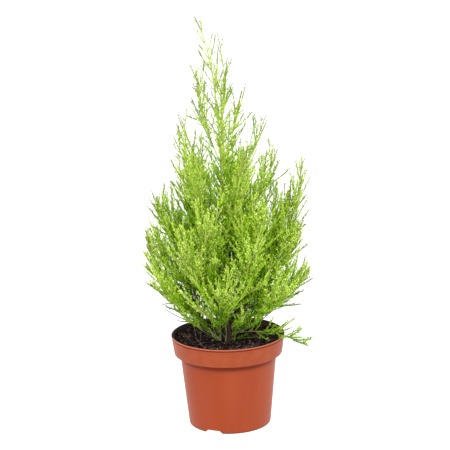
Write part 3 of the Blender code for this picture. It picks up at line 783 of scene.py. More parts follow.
# Thinner stems stand between the boughs at the trunk's foot, and a few dry reddish twigs stick up
# out of the peat at the left, left over from the year before. Each is given by three points in
# millimetres that it passes through.
GREEN_STEM_RADIUS = 0.50 * MM
GREEN_STEMS = [
    [(-8.3, -1, 87.5), (-16.5, -5, 109), (-25, -9, 150)],
    [(-8.0, -2, 87.5), (-10.5, -9, 112), (-12, -22, 152)],
    [(-3.2, -2.6, 87.5), (-1.9, -3.8, 112), (-5.5, -7, 165)],
    [(-8.6, 0.5, 87.5), (-22, 4, 104), (-44, 8, 124)],
    [(6.0, -3.0, 87.5), (11, -9, 106), (24, -22, 138)],
]
DEAD_TWIG_RADIUS = 0.65 * MM
DEAD_TWIGS = [
    [(-22, 4, 104), (-42, -4, 113), (-66, -4, 127)],
    [(-42, -4, 113), (-47, -6, 113), (-53, -9, 116)],
    [(-44, 8, 124), (-58, 5, 130), (-70, 2, 129)],
]
DRY_TWIG_RADIUS = 0.36 * MM
DRY_TWIGS = [
    [(-34.0, 10, 87.5), (-35.0, 11, 98), (-37.0, 12, 109)],
    [(-29.5, 6, 87.5), (-28.5, 7, 97), (-27.0, 8, 106)],
    [(-38.0, -6, 87.5), (-41.0, -5, 93), (-46.0, -3, 98)],
    [(-26.0, -16, 87.5), (-30.0, -15, 93), (-35.0, -12, 97)],
]
DRY_BARK = (0.160, 0.110, 0.100, 1)
DRY_STREAKS = [(0.3, (0.090, 0.055, 0.050, 1)), (0.7, (0.270, 0.210, 0.200, 1))]
DEAD_BARK = (0.070, 0.050, 0.045, 1)
Twig = namedtuple("Twig", "foot bend tip")


def bent_twigs(lines, radius, sides):
    """Twigs that taper to half their thickness, each through its three points."""
    twigs = []
    for line in lines:
        start, middle, end = (Vector(p) * MM for p in line)
        twig = Twig(start, 2 * middle - (start + end) / 2, end)
        twigs.append(tapering(twig, (0, 1), (radius, radius / 2), 14, sides, 3))
    return skins(twigs)


dry_bark = mottled("dry_bark", DRY_BARK, 0.8, DRY_STREAKS, 600, upright=0.3)
dead_bark = finish("dead_bark", DEAD_BARK, 0.8)
green_stems = add_mesh("green_stems", *bent_twigs(GREEN_STEMS, GREEN_STEM_RADIUS, 9), young_bark, 70)
dry_twigs = add_mesh("dry_twigs", *bent_twigs(DRY_TWIGS, DRY_TWIG_RADIUS, 6), dry_bark, 70)
dead_twigs = add_mesh("dead_twigs", *bent_twigs(DEAD_TWIGS, DEAD_TWIG_RADIUS, 6), dead_bark, 70)
for piece in (green_stems, dry_twigs, dead_twigs):
    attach(piece, "root")

# The stems of the plumes run on from the boughs, or leave the trunk, as soft green stems that the
# foliage hides. They taper to a point at the plumes' tips.
STEM_RINGS = 18
STEM_SIDES = 7
STEM_TAPER = 0.68
BARE_STEM_SLIMNESS = 0.5
STEM_SHARE_OF_TRUNK = 0.6
STEM_GREEN = (0.420, 0.520, 0.090, 1)
STEM_STREAKS = [(0.3, (0.30, 0.36, 0.06, 1)), (0.7, (0.52, 0.64, 0.13, 1))]

green_stem = mottled("green_stem", STEM_GREEN, 0.7, STEM_STREAKS, 500, 3, 0.3)
stem_tubes = []
for plume in plumes:
    thick = BOUGH_TIP_RADIUS * (BARE_STEM_SLIMNESS if plume.bare else 1)
    if plume.on_trunk and not plume.bare:
        thick = min(thick, STEM_SHARE_OF_TRUNK * trunk_radius(plume.foot.z))
    radii = (thick, thick * (1 - STEM_TAPER))
    rings = tapering(plume, (plume.bare, 1), radii, STEM_RINGS + 1, STEM_SIDES)
    stem_tubes.append(rings[:-1] + [[plume.tip]])
stems = add_mesh("plume_stems", *skins(stem_tubes), green_stem, 60)
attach(stems, "root")
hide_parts(*[f"foliage_{plume.name}" for plume in plumes])

# Leafy side shoots stand round the stem of each plume, the same as the source's blades, with more
# between them. Together they fill the crown, a dense flame that leans to the left at its top.
CROWN_LEAN_FROM = 300
CROWN_TOP_X = -25
# The crown's radius at each height, in millimetres
CROWN_OUTLINE = [
    (92, 10), (115, 48), (140, 80), (158, 90), (200, 86), (230, 80), (247, 70),
    (262, 60), (288, 55), (328, 46), (342, 31), (378, 21), (402, 13), (432, 4),
]
CROWN_HEIGHTS, CROWN_RADII = zip(*CROWN_OUTLINE)
PATH_SAMPLES = 24
TRUNK_CLEARANCE = 0.6 * MM
POT_CLEARANCE = 1.2 * MM
SOIL_LUMP_RISE = 1.6 * MM
WALL_LEAN = 2 * MM
BLADE_ANGLES = (math.radians(46), math.radians(27))
BLADE_LIFT = 0.24
# A blade's share of its full length, at the foot, and how it swells along the stem and falls off
BLADE_AT_FOOT, BLADE_SWELL, BLADE_FALL = 0.7, 1.1, 0.33
SHOOTS_FROM, SHOOTS_TO = 0.16, 0.92
SHOOTS_PER_BLADE = {
    "skirt": 5, "lower": 5, "middle": 5, "upper": 2, "high": 1, "top": 1,
    "shoulder": 5, "rim": 3, "twin": 1, "leader": 1, "skirt_6": 3,
}
SPARSE_PLUMES = ("twin", "leader")
SPARSE_LENGTH = 0.72
# For the source's blades, and for the shoots between them: how far a shoot may reach into the next
# plume's space, how much it turns upward, and how its length differs
OVERLAPS = (3.5 * MM, 8.0 * MM)
UPRIGHTNESS = (0.10, 0.27)
LENGTH_SHARES = ((0.88, 1.0), (0.7, 1.3))
ANGLE_SHARES = (0.5, 1.1)
# What is tried in turn until a shoot fits: other turns round the stem, and shorter lengths
TURN_STEPS = [math.radians(a) for a in (0, 30, -30, 62, -62)]
SHRINK_STEPS = (1.0, 0.88, 0.77, 0.67, 0.57, 0.48, 0.4)
SHOOT_SAMPLES = 6
SHOOT_BOW = 0.09
SHOOT_ROLL = 0.6
ROUND_TURN = 2.37
SHOOT_RADIUS = 0.52 * MM
# Tints count up from dark to fresh: painted shade makes them less in the depth of the crown and low
# down, and by chance they are more or less from shoot to shoot
SHOOT_TINT_SPREAD = 0.9
# Painted light on the rim bough's shoots, which reach out past the rim into the light
RIM_BOUGH_LIGHT = 0.9
EDGE_TINT = 3.8
DEPTH_SHADE = 6.0
DEPTH_RADII = (40 * MM, 82 * MM)
LOW_SHADE = 3.0
LOW_SHADE_HEIGHT = 85 * MM
TIP_TINT = 0.8
EVEN_TINT_AT = 0.4
# Many bent shoots at once, an array for each property with a row for each shoot
Shoots = namedtuple("Shoots", "root heading bow flat length radius tint crown")


def crown_axis(height):
    """Where the crown's leaning axis stands in x, at one height or many."""
    lean = np.maximum(0, height / MM - CROWN_LEAN_FROM) / (CROWN_HEIGHTS[-1] - CROWN_LEAN_FROM)
    return CROWN_TOP_X * MM * lean


def crown_radius(height):
    return np.interp(height / MM, CROWN_HEIGHTS, CROWN_RADII) * MM


def from_axis(points):
    return np.hypot(points[:, 0] - crown_axis(points[:, 2]), points[:, 1])


def inside_crown(points, margin=0.0):
    return from_axis(points) < crown_radius(points[:, 2]) + margin


def clear_of_pot(points):
    """Over the soil, and inside or outside the collar but not in it."""
    radius = np.hypot(points[:, 0], points[:, 1])
    in_soil = (radius < RIM_RADIUS) & (points[:, 2] < SOIL_LEVEL + SOIL_LUMP_RISE + POT_CLEARANCE)
    past_inside = radius > RIM_RADIUS - WALL - POT_CLEARANCE - WALL_LEAN
    beside_wall = past_inside & (radius < RIM_RADIUS + POT_CLEARANCE)
    return ~in_soil & ~(beside_wall & (points[:, 2] < POT_HEIGHT + POT_CLEARANCE))


stem_lines = []
for plume in plumes:
    stem_lines.append([stem_point(plume, i / (PATH_SAMPLES - 1)) for i in range(PATH_SAMPLES)])
stem_lines = np.array(stem_lines)
trunk_heights = np.linspace(TRUNK_FOOT, TRUNK_TIP, 4 * PATH_SAMPLES)
trunk_line = np.array([trunk_point(height) for height in trunk_heights])
trunk_radii = np.array([trunk_radius(height) for height in trunk_heights])


def clear_of_trunk(points):
    gaps = np.linalg.norm(points[:, None] - trunk_line, axis=2) - trunk_radii
    return gaps.min(axis=1) > TRUNK_CLEARANCE


def in_own_space(plume, points, overlap):
    """True if these points are nearest to the plume's own stem, but for the overlap, off the
    trunk and off the pot."""
    p = points[:, None, None, :]
    start, run = stem_lines[:, :-1], np.diff(stem_lines, axis=1)
    t = ((p - start) * run).sum(-1) / (run * run).sum(-1)
    nearest = start + run * np.clip(t, 0, 1)[..., None]
    gaps = np.linalg.norm(p - nearest, axis=-1).min(axis=2)
    other = np.delete(gaps, plume.number, axis=1).min(axis=1)
    if (gaps[:, plume.number] - 2 * overlap > other).any():
        return False
    if plume.in_crown and not inside_crown(points).all():
        return False
    return clear_of_pot(points).all() and clear_of_trunk(points[1:]).all()


def share_between(values, low, high):
    """0 at the low value and 1 at the high one."""
    return np.clip((values - low) / (high - low), 0, 1)


def depth_tint(tip, share):
    """Fresher towards a plume's tip; lighter at the crown's edge and darker deep in the crown and
    low down, as painted shade.
    """
    edge = crown_radius(tip.z)
    depth = 1 - min(1, math.hypot(tip.x, tip.y) / max(edge, 1 * MM))
    depth *= share_between(edge, *DEPTH_RADII)
    low_down = max(0, 1 - (tip.z - SOIL_LEVEL) / LOW_SHADE_HEIGHT)
    return EDGE_TINT - DEPTH_SHADE * depth - LOW_SHADE * low_down + TIP_TINT * (share - EVEN_TINT_AT)


def one_shoot(root, heading, length, lift, share, in_crown, seed, radius=SHOOT_RADIUS, tint=0.0):
    """A shoot as a row of arrays, a little bent, with its sprays' plane turned by chance."""
    draw = random.Random(seed)
    roll = draw.uniform(-SHOOT_ROLL, SHOOT_ROLL)
    flat, normal = across_and_over(heading)
    bow = Vector((0, 0, lift)) + Vector([draw.uniform(-SHOOT_BOW, SHOOT_BOW) for _ in range(3)])
    own_tint = depth_tint(root + heading * length, share) + draw.uniform(-1, 1) * SHOOT_TINT_SPREAD
    plane = flat * math.cos(roll) + normal * math.sin(roll)
    values = (root, heading, bow, plane, length, radius, own_tint + tint, in_crown)
    return Shoots(*[np.array([value]) for value in values])


def fitting_shoot(plume, root, stem, outwards, angle, length, overlap, rise):
    """The first direction and length, of those tried, that keep to the plume's own space."""
    s = np.linspace(0, 1, SHOOT_SAMPLES)[:, None]
    for step in SHRINK_STEPS:
        for outward in outwards:
            direction = stem * math.cos(angle) + outward * math.sin(angle) + UP * rise
            direction.normalize()
            points = np.array(root) + np.array(direction) * length * step * s
            points[:, 2] += length * step * BLADE_LIFT * s[:, 0] ** 2
            if in_own_space(plume, points, overlap):
                return direction, length * step
    return None


def side_shoots(plume):
    """The side shoots that fit, round the stem by the golden angle, the source's blades first."""
    first = max(plume.bare, SHOOTS_FROM)
    shoots = []
    rounds = SHOOTS_PER_BLADE.get(plume.name) or SHOOTS_PER_BLADE[plume.name.split("_")[0]]
    for i in range(plume.blades * rounds):
        extra, blade = divmod(i, plume.blades)
        between = extra > 0
        draw = random.Random(1000 * plume.number + blade + 100 * extra)
        share = (blade + 0.5 + extra / rounds + draw.uniform(-0.2, 0.2)) / plume.blades
        share = share - 1 if share > 1.05 else share
        t = part_way((first, SHOOTS_TO), share)
        stem = stem_direction(plume, t)
        across, over = across_and_over(stem)
        angle = part_way(BLADE_ANGLES, share)
        length = plume.blade * (BLADE_AT_FOOT + BLADE_SWELL * share * (1 - share) - BLADE_FALL * share**2)
        length *= draw.uniform(*LENGTH_SHARES[between])
        if between:
            angle *= draw.uniform(*ANGLE_SHARES)
        if plume.name in SPARSE_PLUMES:
            length *= SPARSE_LENGTH
        start = GOLDEN_ANGLE * (blade + ROUND_TURN * extra) + plume.number
        turns = [start + step for step in TURN_STEPS]
        outwards = [across * math.cos(turn) + over * math.sin(turn) for turn in turns]
        root = stem_point(plume, t)
        room = (OVERLAPS[between], UPRIGHTNESS[between])
        fit = fitting_shoot(plume, root, stem, outwards, angle, length, *room)
        if fit:
            seed = 99 + 311 * plume.number + i
            # Painted light on the rim bough's shoots
            tint = RIM_BOUGH_LIGHT if plume.name == "rim" else 0
            shoots.append(one_shoot(root, *fit, BLADE_LIFT, share, plume.in_crown, seed, tint=tint))
    return shoots


plume_shoots = []
for plume in plumes:
    plume_shoots += side_shoots(plume)

# Slender limbs stand between the plumes, low limbs spread from the trunk's foot under the crown,
# and flat upright sprays stand at the crown's outside, each grown up from the stem behind it.
LIMB_COUNT = 30
LIMB_START = 0.9
LIMB_SEEDS = (4000, 4500)
LIMBS_CROWD_LOW = 1.1
# Where in its own step of the crown a limb or a spray may stand
STEP_ROOM = (0.2, 0.8)
LIMB_HEIGHTS = (107 * MM, 215 * MM)
LIMB_ANGLES = (math.radians(27), math.radians(64))
LIMB_LONGEST = 125 * MM
LIMB_LIFT = 0.20
LIMB_RADIUS = 0.75 * MM
LIMB_SHORTEST = 25 * MM
LIMB_STEP = 2 * MM
LIMB_REACHES = (0.82, 0.98)
LIMB_ANGLE_SPREAD = (-6, 14)
LOW_LIMB_SEED = 4600
LOW_LIMB_BARE = 0.40
LOW_LIMB_RADIUS = 0.40 * MM
# Feet and tips of the low limbs, as (x, y, z) in millimetres
LOW_LIMBS = [
    ((-9, -2, 90), (-62, -22, 138)), ((-9, -3, 91), (-48, -46, 138)), ((-9, 0, 92), (-74, 6, 143)),
    ((-9, -2, 92), (-56, -14, 152)), ((-3, -3, 94), (-18, -58, 140)), ((4, -3, 96), (58, -30, 134)),
    ((4, -3, 98), (40, -54, 136)), ((4, 0, 97), (68, 8, 138)), ((3, -3, 95), (14, -62, 138)),
    ((1, 4, 97), (-30, 58, 136)), ((2, 4, 96), (34, 60, 136)), ((0, 4, 95), (2, 70, 138)),
]
FAN_COUNT = 46
FAN_START = 2.2
FAN_SEEDS = (4700, 4800, 4900)
FAN_HEIGHTS = (112 * MM, 262 * MM)
FAN_RISES = (82 * MM, 50 * MM)
FAN_RISE_SHARES = (0.8, 1.1)
FAN_TURN = 0.3
FAN_FOOT_REACH = 0.52
FAN_TIP_REACHES = (0.84, 0.98)
FAN_LIFT = 0.24
FAN_SKEW = 0.45
FAN_RADIUS = 0.62 * MM
# Feet and tips of the sprays that show at the front, as (x, y, z) in millimetres
FRONT_FANS = [
    ((8, -20, 145), (39, -47, 238)), ((-30, -26, 150), (-50, -48, 225)),
    ((-12, -22, 140), (-20, -62, 224)), ((12, -24, 122), (62, -44, 176)),
    ((-4, -30, 128), (26, -74, 172)), ((-16, -24, 118), (-44, -66, 168)),
    ((3, -14, 205), (14, -46, 276)), ((-14, -16, 205), (-34, -40, 278)),
    ((-2, -12, 200), (-3, -44, 262)), ((2, -6, 215), (1, -28, 288)),
    ((-12, 2, 128), (-34, 8, 172)), ((-14, 6, 120), (-28, 22, 168)),
    ((-10, -6, 118), (-22, -16, 160)), ((-24, 0, 118), (-50, -16, 154)),
    ((-24, 4, 118), (-44, 6, 158)), ((-24, 10, 118), (-42, 22, 154)),
    ((-24, -6, 116), (-36, -8, 152)),
]
# How smaller shoots grow on a parent: every spacing from the first to the last share of it, at an
# angle, from long near its foot to short near its tip as shares of its length. Their plane twists,
# and high up they are thinned out.
Growth = namedtuple(
    "Growth",
    "spacing first last angle long short shortest longest lift upright twist radius "
    "fade tint_spread thin seed",
)
LIMB_SHOOTS = Growth(
    spacing=5.2 * MM, first=0.2, last=0.95, angle=math.radians(36), long=0.34, short=0.15,
    shortest=8 * MM, longest=30 * MM, lift=0.16, upright=0.40, twist=1.4, radius=0.46 * MM,
    fade=2.2, tint_spread=0.8, thin=0, seed=70,
)
FAN_SHOOTS = Growth(
    spacing=3.9 * MM, first=0.14, last=0.93, angle=math.radians(38), long=0.42, short=0.15,
    shortest=7 * MM, longest=30 * MM, lift=0.14, upright=0.15, twist=0.25, radius=0.46 * MM,
    fade=0.8, tint_spread=0.6, thin=0, seed=73,
)
HIGH_FROM, HIGH_AT = 235 * MM, 320 * MM
LONGER_HIGH = 0.30
WIDER_HIGH = math.radians(14)
# Where in its spacing a shoot may stand
GROWN_ROOM = (0.15, 0.85)
GROWN_LENGTHS = (0.6, 1.1)
# The share of the rule's angle near a parent's foot, and how much less it is at its tip
GROWN_ANGLE_AT_FOOT, GROWN_ANGLE_FALL = 1.12, 0.4
GROWN_ANGLE_SPREAD = 0.09
GROWN_BOW_SPREAD = 0.06
CROWN_MARGIN = 2 * MM
TUBE_TAPER = 0.4


def joined(groups):
    return Shoots(*[np.concatenate(values) for values in zip(*groups)])


def along(shoots, owner, s):
    """The points at the shares s of the lengths of these owners."""
    bent = shoots.heading[owner] * s[:, None] + shoots.bow[owner] * (s**2)[:, None]
    return shoots.root[owner] + bent * shoots.length[owner][:, None]


def tips_of(shoots):
    count = len(shoots.length)
    return along(shoots, np.arange(count), np.ones(count))


def unit(vectors):
    return vectors / np.linalg.norm(vectors, axis=1)[:, None]


def heading_along(shoots, owner, s):
    return unit(shoots.heading[owner] + 2 * shoots.bow[owner] * s[:, None])


def shoot_to(tip, root, lift, share, in_crown, seed, **look):
    """A shoot from a root that bends up to about this tip."""
    reach = tip - root
    heading = reach.normalized() - UP * lift
    return one_shoot(root, heading, reach.length, lift, share, in_crown, seed, **look)


def crown_limbs():
    """Slender limbs, round the trunk by the golden angle, out to the crown's edge."""
    made = []
    for i in range(LIMB_COUNT):
        draw = random.Random(LIMB_SEEDS[0] + i)
        share = (i + draw.uniform(*STEP_ROOM)) / LIMB_COUNT
        height = part_way(LIMB_HEIGHTS, share**LIMBS_CROWD_LOW)
        turn = GOLDEN_ANGLE * i + LIMB_START
        rise = part_way(LIMB_ANGLES, share) + math.radians(draw.uniform(*LIMB_ANGLE_SPREAD))
        direction = at(turn, math.cos(rise), math.sin(rise))
        root = trunk_point(height) + at(turn, 0.5 * trunk_radius(height), 0)
        length = LIMB_SHORTEST
        while length < LIMB_LONGEST and inside_crown(np.array([root + direction * length])).all():
            length += LIMB_STEP
        length *= draw.uniform(*LIMB_REACHES)
        heading, seed = direction - UP * LIMB_LIFT, LIMB_SEEDS[1] + i
        made.append(one_shoot(root, heading, length, LIMB_LIFT, 0.4, True, seed, LIMB_RADIUS))
    return joined(made)


def low_limbs():
    made = []
    for number, ends in enumerate(LOW_LIMBS):
        foot, tip = (Vector(end) * MM for end in ends)
        seed = LOW_LIMB_SEED + number
        made.append(shoot_to(tip, foot, LIMB_LIFT, 0.2, False, seed, radius=LOW_LIMB_RADIUS))
    return joined(made)


stem_points = []
for plume in plumes:
    low = max(plume.bare, 0.1)
    stem_points += [stem_point(plume, low + (1 - low) * i / 60) for i in range(60)]


def nearest_on_stems(place, measure=lambda point, place: (point - place).length):
    """The point of the leafy stems for which this measure of distance is least."""
    return min(stem_points, key=lambda point: measure(point, place))


def crown_fans():
    """The flat sprays at the front, and then those all round by the golden angle."""
    ends = []
    for foot, tip in FRONT_FANS:
        ends.append((nearest_on_stems(Vector(foot) * MM), Vector(tip) * MM))
    for i in range(FAN_COUNT):
        draw = random.Random(FAN_SEEDS[0] + i)
        share = (i + draw.uniform(*STEP_ROOM)) / FAN_COUNT
        height = part_way(FAN_HEIGHTS, share)
        turn = GOLDEN_ANGLE * i + FAN_START
        root = nearest_on_stems(at(turn, FAN_FOOT_REACH * crown_radius(height), height))
        top = root.z + part_way(FAN_RISES, share) * draw.uniform(*FAN_RISE_SHARES)
        turn = math.atan2(root.y, root.x) + draw.uniform(-FAN_TURN, FAN_TURN)
        ends.append((root, at(turn, crown_radius(top) * draw.uniform(*FAN_TIP_REACHES), top)))
    made = []
    for number, (root, tip) in enumerate(ends):
        draw = random.Random(FAN_SEEDS[2] + number)
        fan = shoot_to(tip, root, FAN_LIFT, 0.8, True, FAN_SEEDS[1] + number, radius=FAN_RADIUS)
        out = Vector((tip.x, tip.y, 0)).normalized()
        flat = out.cross(UP) + UP.cross(out.cross(UP)) * draw.uniform(-FAN_SKEW, FAN_SKEW)
        made.append(fan._replace(flat=np.array([flat.normalized()])))
    return joined(made)


def numbered(counts):
    """The owner of every thing, where each owner has a count of them, and its number there."""
    owner = np.repeat(np.arange(len(counts)), counts)
    return owner, np.arange(len(owner)) - np.repeat(np.cumsum(counts) - counts, counts)


def grown_on(parents, rule):
    """Smaller shoots left and right in turn on each parent, shorter towards its tip."""
    draw = np.random.default_rng(rule.seed)
    run = rule.last - rule.first
    count = np.floor(parents.length * run / rule.spacing + 0.35).astype(int)
    owner, step = numbered(count)
    n = len(owner)
    s = rule.first + run * (step + draw.uniform(*GROWN_ROOM, n)) / count[owner]
    heading = heading_along(parents, owner, s)
    flat = unit(parents.flat[owner] - heading * (parents.flat[owner] * heading).sum(1)[:, None])
    normal = np.cross(flat, heading)
    side = np.where((step + owner) % 2, 1.0, -1.0)
    twist = draw.normal(0, rule.twist, n)
    outward = flat * (side * np.cos(twist))[:, None] + normal * np.sin(twist)[:, None]
    high = share_between(along(parents, owner, s)[:, 2], HIGH_FROM, HIGH_AT)
    angle = rule.angle * (GROWN_ANGLE_AT_FOOT - GROWN_ANGLE_FALL * s) + WIDER_HIGH * high
    angle += draw.normal(0, GROWN_ANGLE_SPREAD, n)
    own = heading * np.cos(angle)[:, None] + outward * np.sin(angle)[:, None]
    own = unit(own + np.array([0, 0, rule.upright]))
    length = parents.length[owner] * (rule.long + (rule.short - rule.long) * s)
    length *= draw.uniform(*GROWN_LENGTHS, n) * (1 + LONGER_HIGH * high)
    length = np.clip(length, rule.shortest, rule.longest)
    bow = draw.normal(0, GROWN_BOW_SPREAD, (n, 3))
    bow[:, 2] += rule.lift
    grown = Shoots(
        along(parents, owner, s),
        own,
        bow,
        unit(outward * np.cos(angle)[:, None] - heading * np.sin(angle)[:, None]),
        length,
        np.full(n, rule.radius),
        parents.tint[owner] + rule.fade * (s - 0.6) + draw.normal(0, rule.tint_spread, n),
        parents.crown[owner],
    )
    tips = tips_of(grown)
    keep = clear_of_pot(tips) & clear_of_trunk(tips)
    keep &= inside_crown(tips, CROWN_MARGIN) | ~grown.crown
    keep &= draw.random(n) > rule.thin * high
    return Shoots(*[values[keep] for values in grown])


def frame_about(heading):
    """Two unit vectors across each heading."""
    across = unit(np.cross(heading, (0.13, 0.07, 0.99)))
    return across, np.cross(heading, across)


def tubes(shoots, rings, sides):
    """Verts and triangles of tapering tubes that end in a point, one on each shoot."""
    count = len(shoots.length)
    every = np.arange(count)
    verts = np.zeros((count, rings * sides + 1, 3))
    for ring in range(rings):
        s = np.full(count, ring / (rings - 0.5))
        middle = along(shoots, every, s)
        across, over = frame_about(heading_along(shoots, every, s))
        thick = (shoots.radius * (1 - TUBE_TAPER * ring / rings))[:, None]
        for side in range(sides):
            a = 2 * math.pi * side / sides
            out = across * math.cos(a) + over * math.sin(a)
            verts[:, ring * sides + side] = middle + out * thick
    verts[:, -1] = tips_of(shoots)
    faces = []
    for ring in range(rings - 1):
        for side in range(sides):
            a, b = ring * sides + side, ring * sides + (side + 1) % sides
            faces += [(a, b, b + sides), (a, b + sides, a + sides)]
    last = (rings - 1) * sides
    faces += [(last + side, last + (side + 1) % sides, rings * sides) for side in range(sides)]
    offsets = np.arange(count)[:, None, None] * (rings * sides + 1)
    return verts.reshape(-1, 3), (np.array(faces) + offsets).reshape(-1, 3)


def mesh_of_triangles(name, verts, triangles, material):
    """A piece of the foliage from arrays, quickly."""
    mesh = bpy.data.meshes.new(name)
    mesh.vertices.add(len(verts))
    mesh.vertices.foreach_set("co", np.ascontiguousarray(verts, dtype=np.float32).ravel())
    mesh.loops.add(len(triangles) * 3)
    mesh.loops.foreach_set("vertex_index", np.ascontiguousarray(triangles, dtype=np.int32).ravel())
    mesh.polygons.add(len(triangles))
    mesh.polygons.foreach_set("loop_start", np.arange(0, len(triangles) * 3, 3, dtype=np.int32))
    mesh.update(calc_edges=True)
    mesh.materials.append(material)
    piece = placed(name, mesh)
    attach(piece, "root")


slender, spreading, fans = crown_limbs(), low_limbs(), crown_fans()
limb_shoots = [
    grown_on(slender, LIMB_SHOOTS),
    grown_on(spreading, LIMB_SHOOTS._replace(first=LOW_LIMB_BARE)),
    grown_on(fans, FAN_SHOOTS),
]
mesh_of_triangles("slender_limbs", *tubes(joined([slender, fans]), 12, 6), green_stem)
mesh_of_triangles("low_limbs", *tubes(spreading, 12, 6), young_bark)

# Single leafy shoots fill what the plumes leave open: upright ones in the upper crown, short ones
# on the trunk that hide it, and sprigs on the bare boughs and by the trunk's foot.
STRAND_COUNT = 30
STRAND_SEEDS = (5200, 5300)
STRAND_REACHES = (0.15, 0.9)
STRAND_SLANT = 0.3
STRAND_HEIGHTS = (262 * MM, 390 * MM)
STRAND_LENGTHS = (22 * MM, 40 * MM)
STRAND_LIFT = 0.12
TRUNK_SHOOTS = 74
TRUNK_SHOOT_SEEDS = (5000, 6000)
TRUNK_SHOOT_HEIGHTS = (106 * MM, 285 * MM)
TRUNK_SHOOT_LENGTHS = (22 * MM, 40 * MM)
TRUNK_SHOOT_ANGLE = math.radians(36)
TRUNK_SHOOT_ANGLE_SHARES = (0.8, 1.3)
TRUNK_SHOOT_LIFT = 0.1
BOUGH_SPRIGS = 11
BOUGH_SPRIG_SEEDS = (5600, 5900)
# Where they stand, as shares of the bare length, so the last are past it among the foliage
BOUGH_SPRIG_REACH = (0.4, 1.9)
BOUGH_SPRIG_LENGTHS = (18 * MM, 38 * MM)
BOUGH_SPRIG_ANGLE = math.radians(42)
BOUGH_SPRIG_ANGLE_SHARES = (0.7, 1.2)
BOUGH_SPRIG_RISE = 0.45
BOUGH_SPRIG_LIFT = 0.15
FOOT_SPRIG_SEED = 8500
# The sprigs by the trunk's foot are tinted darker: painted shade under the crown
FOOT_SPRIG_SHADE = -1.2
FOOT_SPRIG_LIFT = 0.1
# Feet and tips of the sprigs by the trunk's foot, as (x, y, z) in millimetres
FOOT_SPRIGS = [
    ((5, -2, 96), (24, -12, 112)), ((5, -1, 101), (31, -9, 124)), ((4.5, -3, 92), (22, -20, 101)),
    ((4.5, -3, 95), (12, -15, 112)), ((4, 1.5, 105), (30, 12, 128)), ((3.5, -2.5, 106), (17, -14, 128)),
    ((5, 2, 93), (26, 5, 106)), ((4, 3, 97), (14, 26, 118)), ((1, 3.5, 100), (-10, 28, 122)),
    ((4.5, -2.5, 99), (34, -2, 112)), ((4.5, 1, 90), (30, -12, 99)), ((4, 1, 102), (36, 4, 130)),
    ((4, 2, 99), (28, 20, 126)), ((4.5, -2, 101), (30, -16, 124)), ((4.5, -1, 97), (40, 4, 118)),
    ((3.5, 2, 108), (22, 14, 150)), ((3.5, -1, 104), (20, -8, 146)), ((2.5, 3, 112), (14, 24, 152)),
    ((3, 2, 103), (12, 12, 140)), ((3.5, 1, 100), (34, 18, 146)), ((-2, -3, 116), (-11, -11, 158)),
    ((-1, 3, 112), (-22, 6, 152)), ((-2, 2, 108), (-30, 8, 148)), ((-2, -2, 110), (-26, -10, 150)),
    ((4, 2, 104), (16, 8, 138)),
]


def upper_strands():
    """Single upright shoots that fill the upper crown evenly, each from the stem nearest below."""
    shoots = []
    for i in range(STRAND_COUNT):
        draw = random.Random(STRAND_SEEDS[0] + i)
        height = part_way(STRAND_HEIGHTS, (i + draw.random()) / STRAND_COUNT)
        reach = crown_radius(height) * math.sqrt(draw.uniform(*STRAND_REACHES))
        turn = GOLDEN_ANGLE * i + 1
        tip = at(turn, reach, height) + Vector((crown_axis(height), 0, 0))
        slant = at(turn, STRAND_SLANT, 0) + UP
        root = nearest_on_stems(tip - slant * draw.uniform(*STRAND_LENGTHS))
        shoots.append(shoot_to(tip, root, STRAND_LIFT, 0.8, True, STRAND_SEEDS[1] + i))
    return shoots


def trunk_shoots():
    """Short shoots straight from the trunk, by the golden angle, which hide it up in the crown."""
    shoots = []
    for i in range(TRUNK_SHOOTS):
        draw = random.Random(TRUNK_SHOOT_SEEDS[0] + i)
        height = part_way(TRUNK_SHOOT_HEIGHTS, (i + draw.uniform(0, 1)) / TRUNK_SHOOTS)
        turn = GOLDEN_ANGLE * i
        angle = TRUNK_SHOOT_ANGLE * draw.uniform(*TRUNK_SHOOT_ANGLE_SHARES)
        direction = at(turn, math.sin(angle), math.cos(angle))
        root = trunk_point(height) + at(turn, 0.6 * trunk_radius(height), 0)
        length, seed = draw.uniform(*TRUNK_SHOOT_LENGTHS), TRUNK_SHOOT_SEEDS[1] + i
        shoots.append(one_shoot(root, direction, length, TRUNK_SHOOT_LIFT, 0.4, True, seed))
    return shoots


def bough_sprigs(plume):
    """Leafy shoots low down on a bare bough, which close the crown from below."""
    shoots = []
    for i in range(BOUGH_SPRIGS):
        number = 20 * plume.number + i
        draw = random.Random(BOUGH_SPRIG_SEEDS[0] + number)
        t = plume.bare * part_way(BOUGH_SPRIG_REACH, (i + draw.random()) / BOUGH_SPRIGS)
        stem = stem_direction(plume, t)
        across, over = across_and_over(stem)
        turn = GOLDEN_ANGLE * i + plume.number
        outward = across * math.cos(turn) + over * math.sin(turn)
        angle = BOUGH_SPRIG_ANGLE * draw.uniform(*BOUGH_SPRIG_ANGLE_SHARES)
        heading = (stem * math.cos(angle) + outward * math.sin(angle) + UP * BOUGH_SPRIG_RISE).normalized()
        length, seed = draw.uniform(*BOUGH_SPRIG_LENGTHS), BOUGH_SPRIG_SEEDS[1] + number
        shoots.append(one_shoot(stem_point(plume, t), heading, length, BOUGH_SPRIG_LIFT, 0.2, True, seed))
    return shoots


def foot_sprigs():
    shoots = []
    for number, ends in enumerate(FOOT_SPRIGS):
        foot, tip = (Vector(end) * MM for end in ends)
        seed = FOOT_SPRIG_SEED + number
        # Painted shade on the sprigs by the trunk's foot
        shoots.append(shoot_to(tip, foot, FOOT_SPRIG_LIFT, 0.2, False, seed, tint=FOOT_SPRIG_SHADE))
    return shoots


single_shoots = upper_strands() + trunk_shoots()
for plume in plumes:
    if plume.bare and plume.name != "rim":
        single_shoots += bough_sprigs(plume)
single_shoots += foot_sprigs()

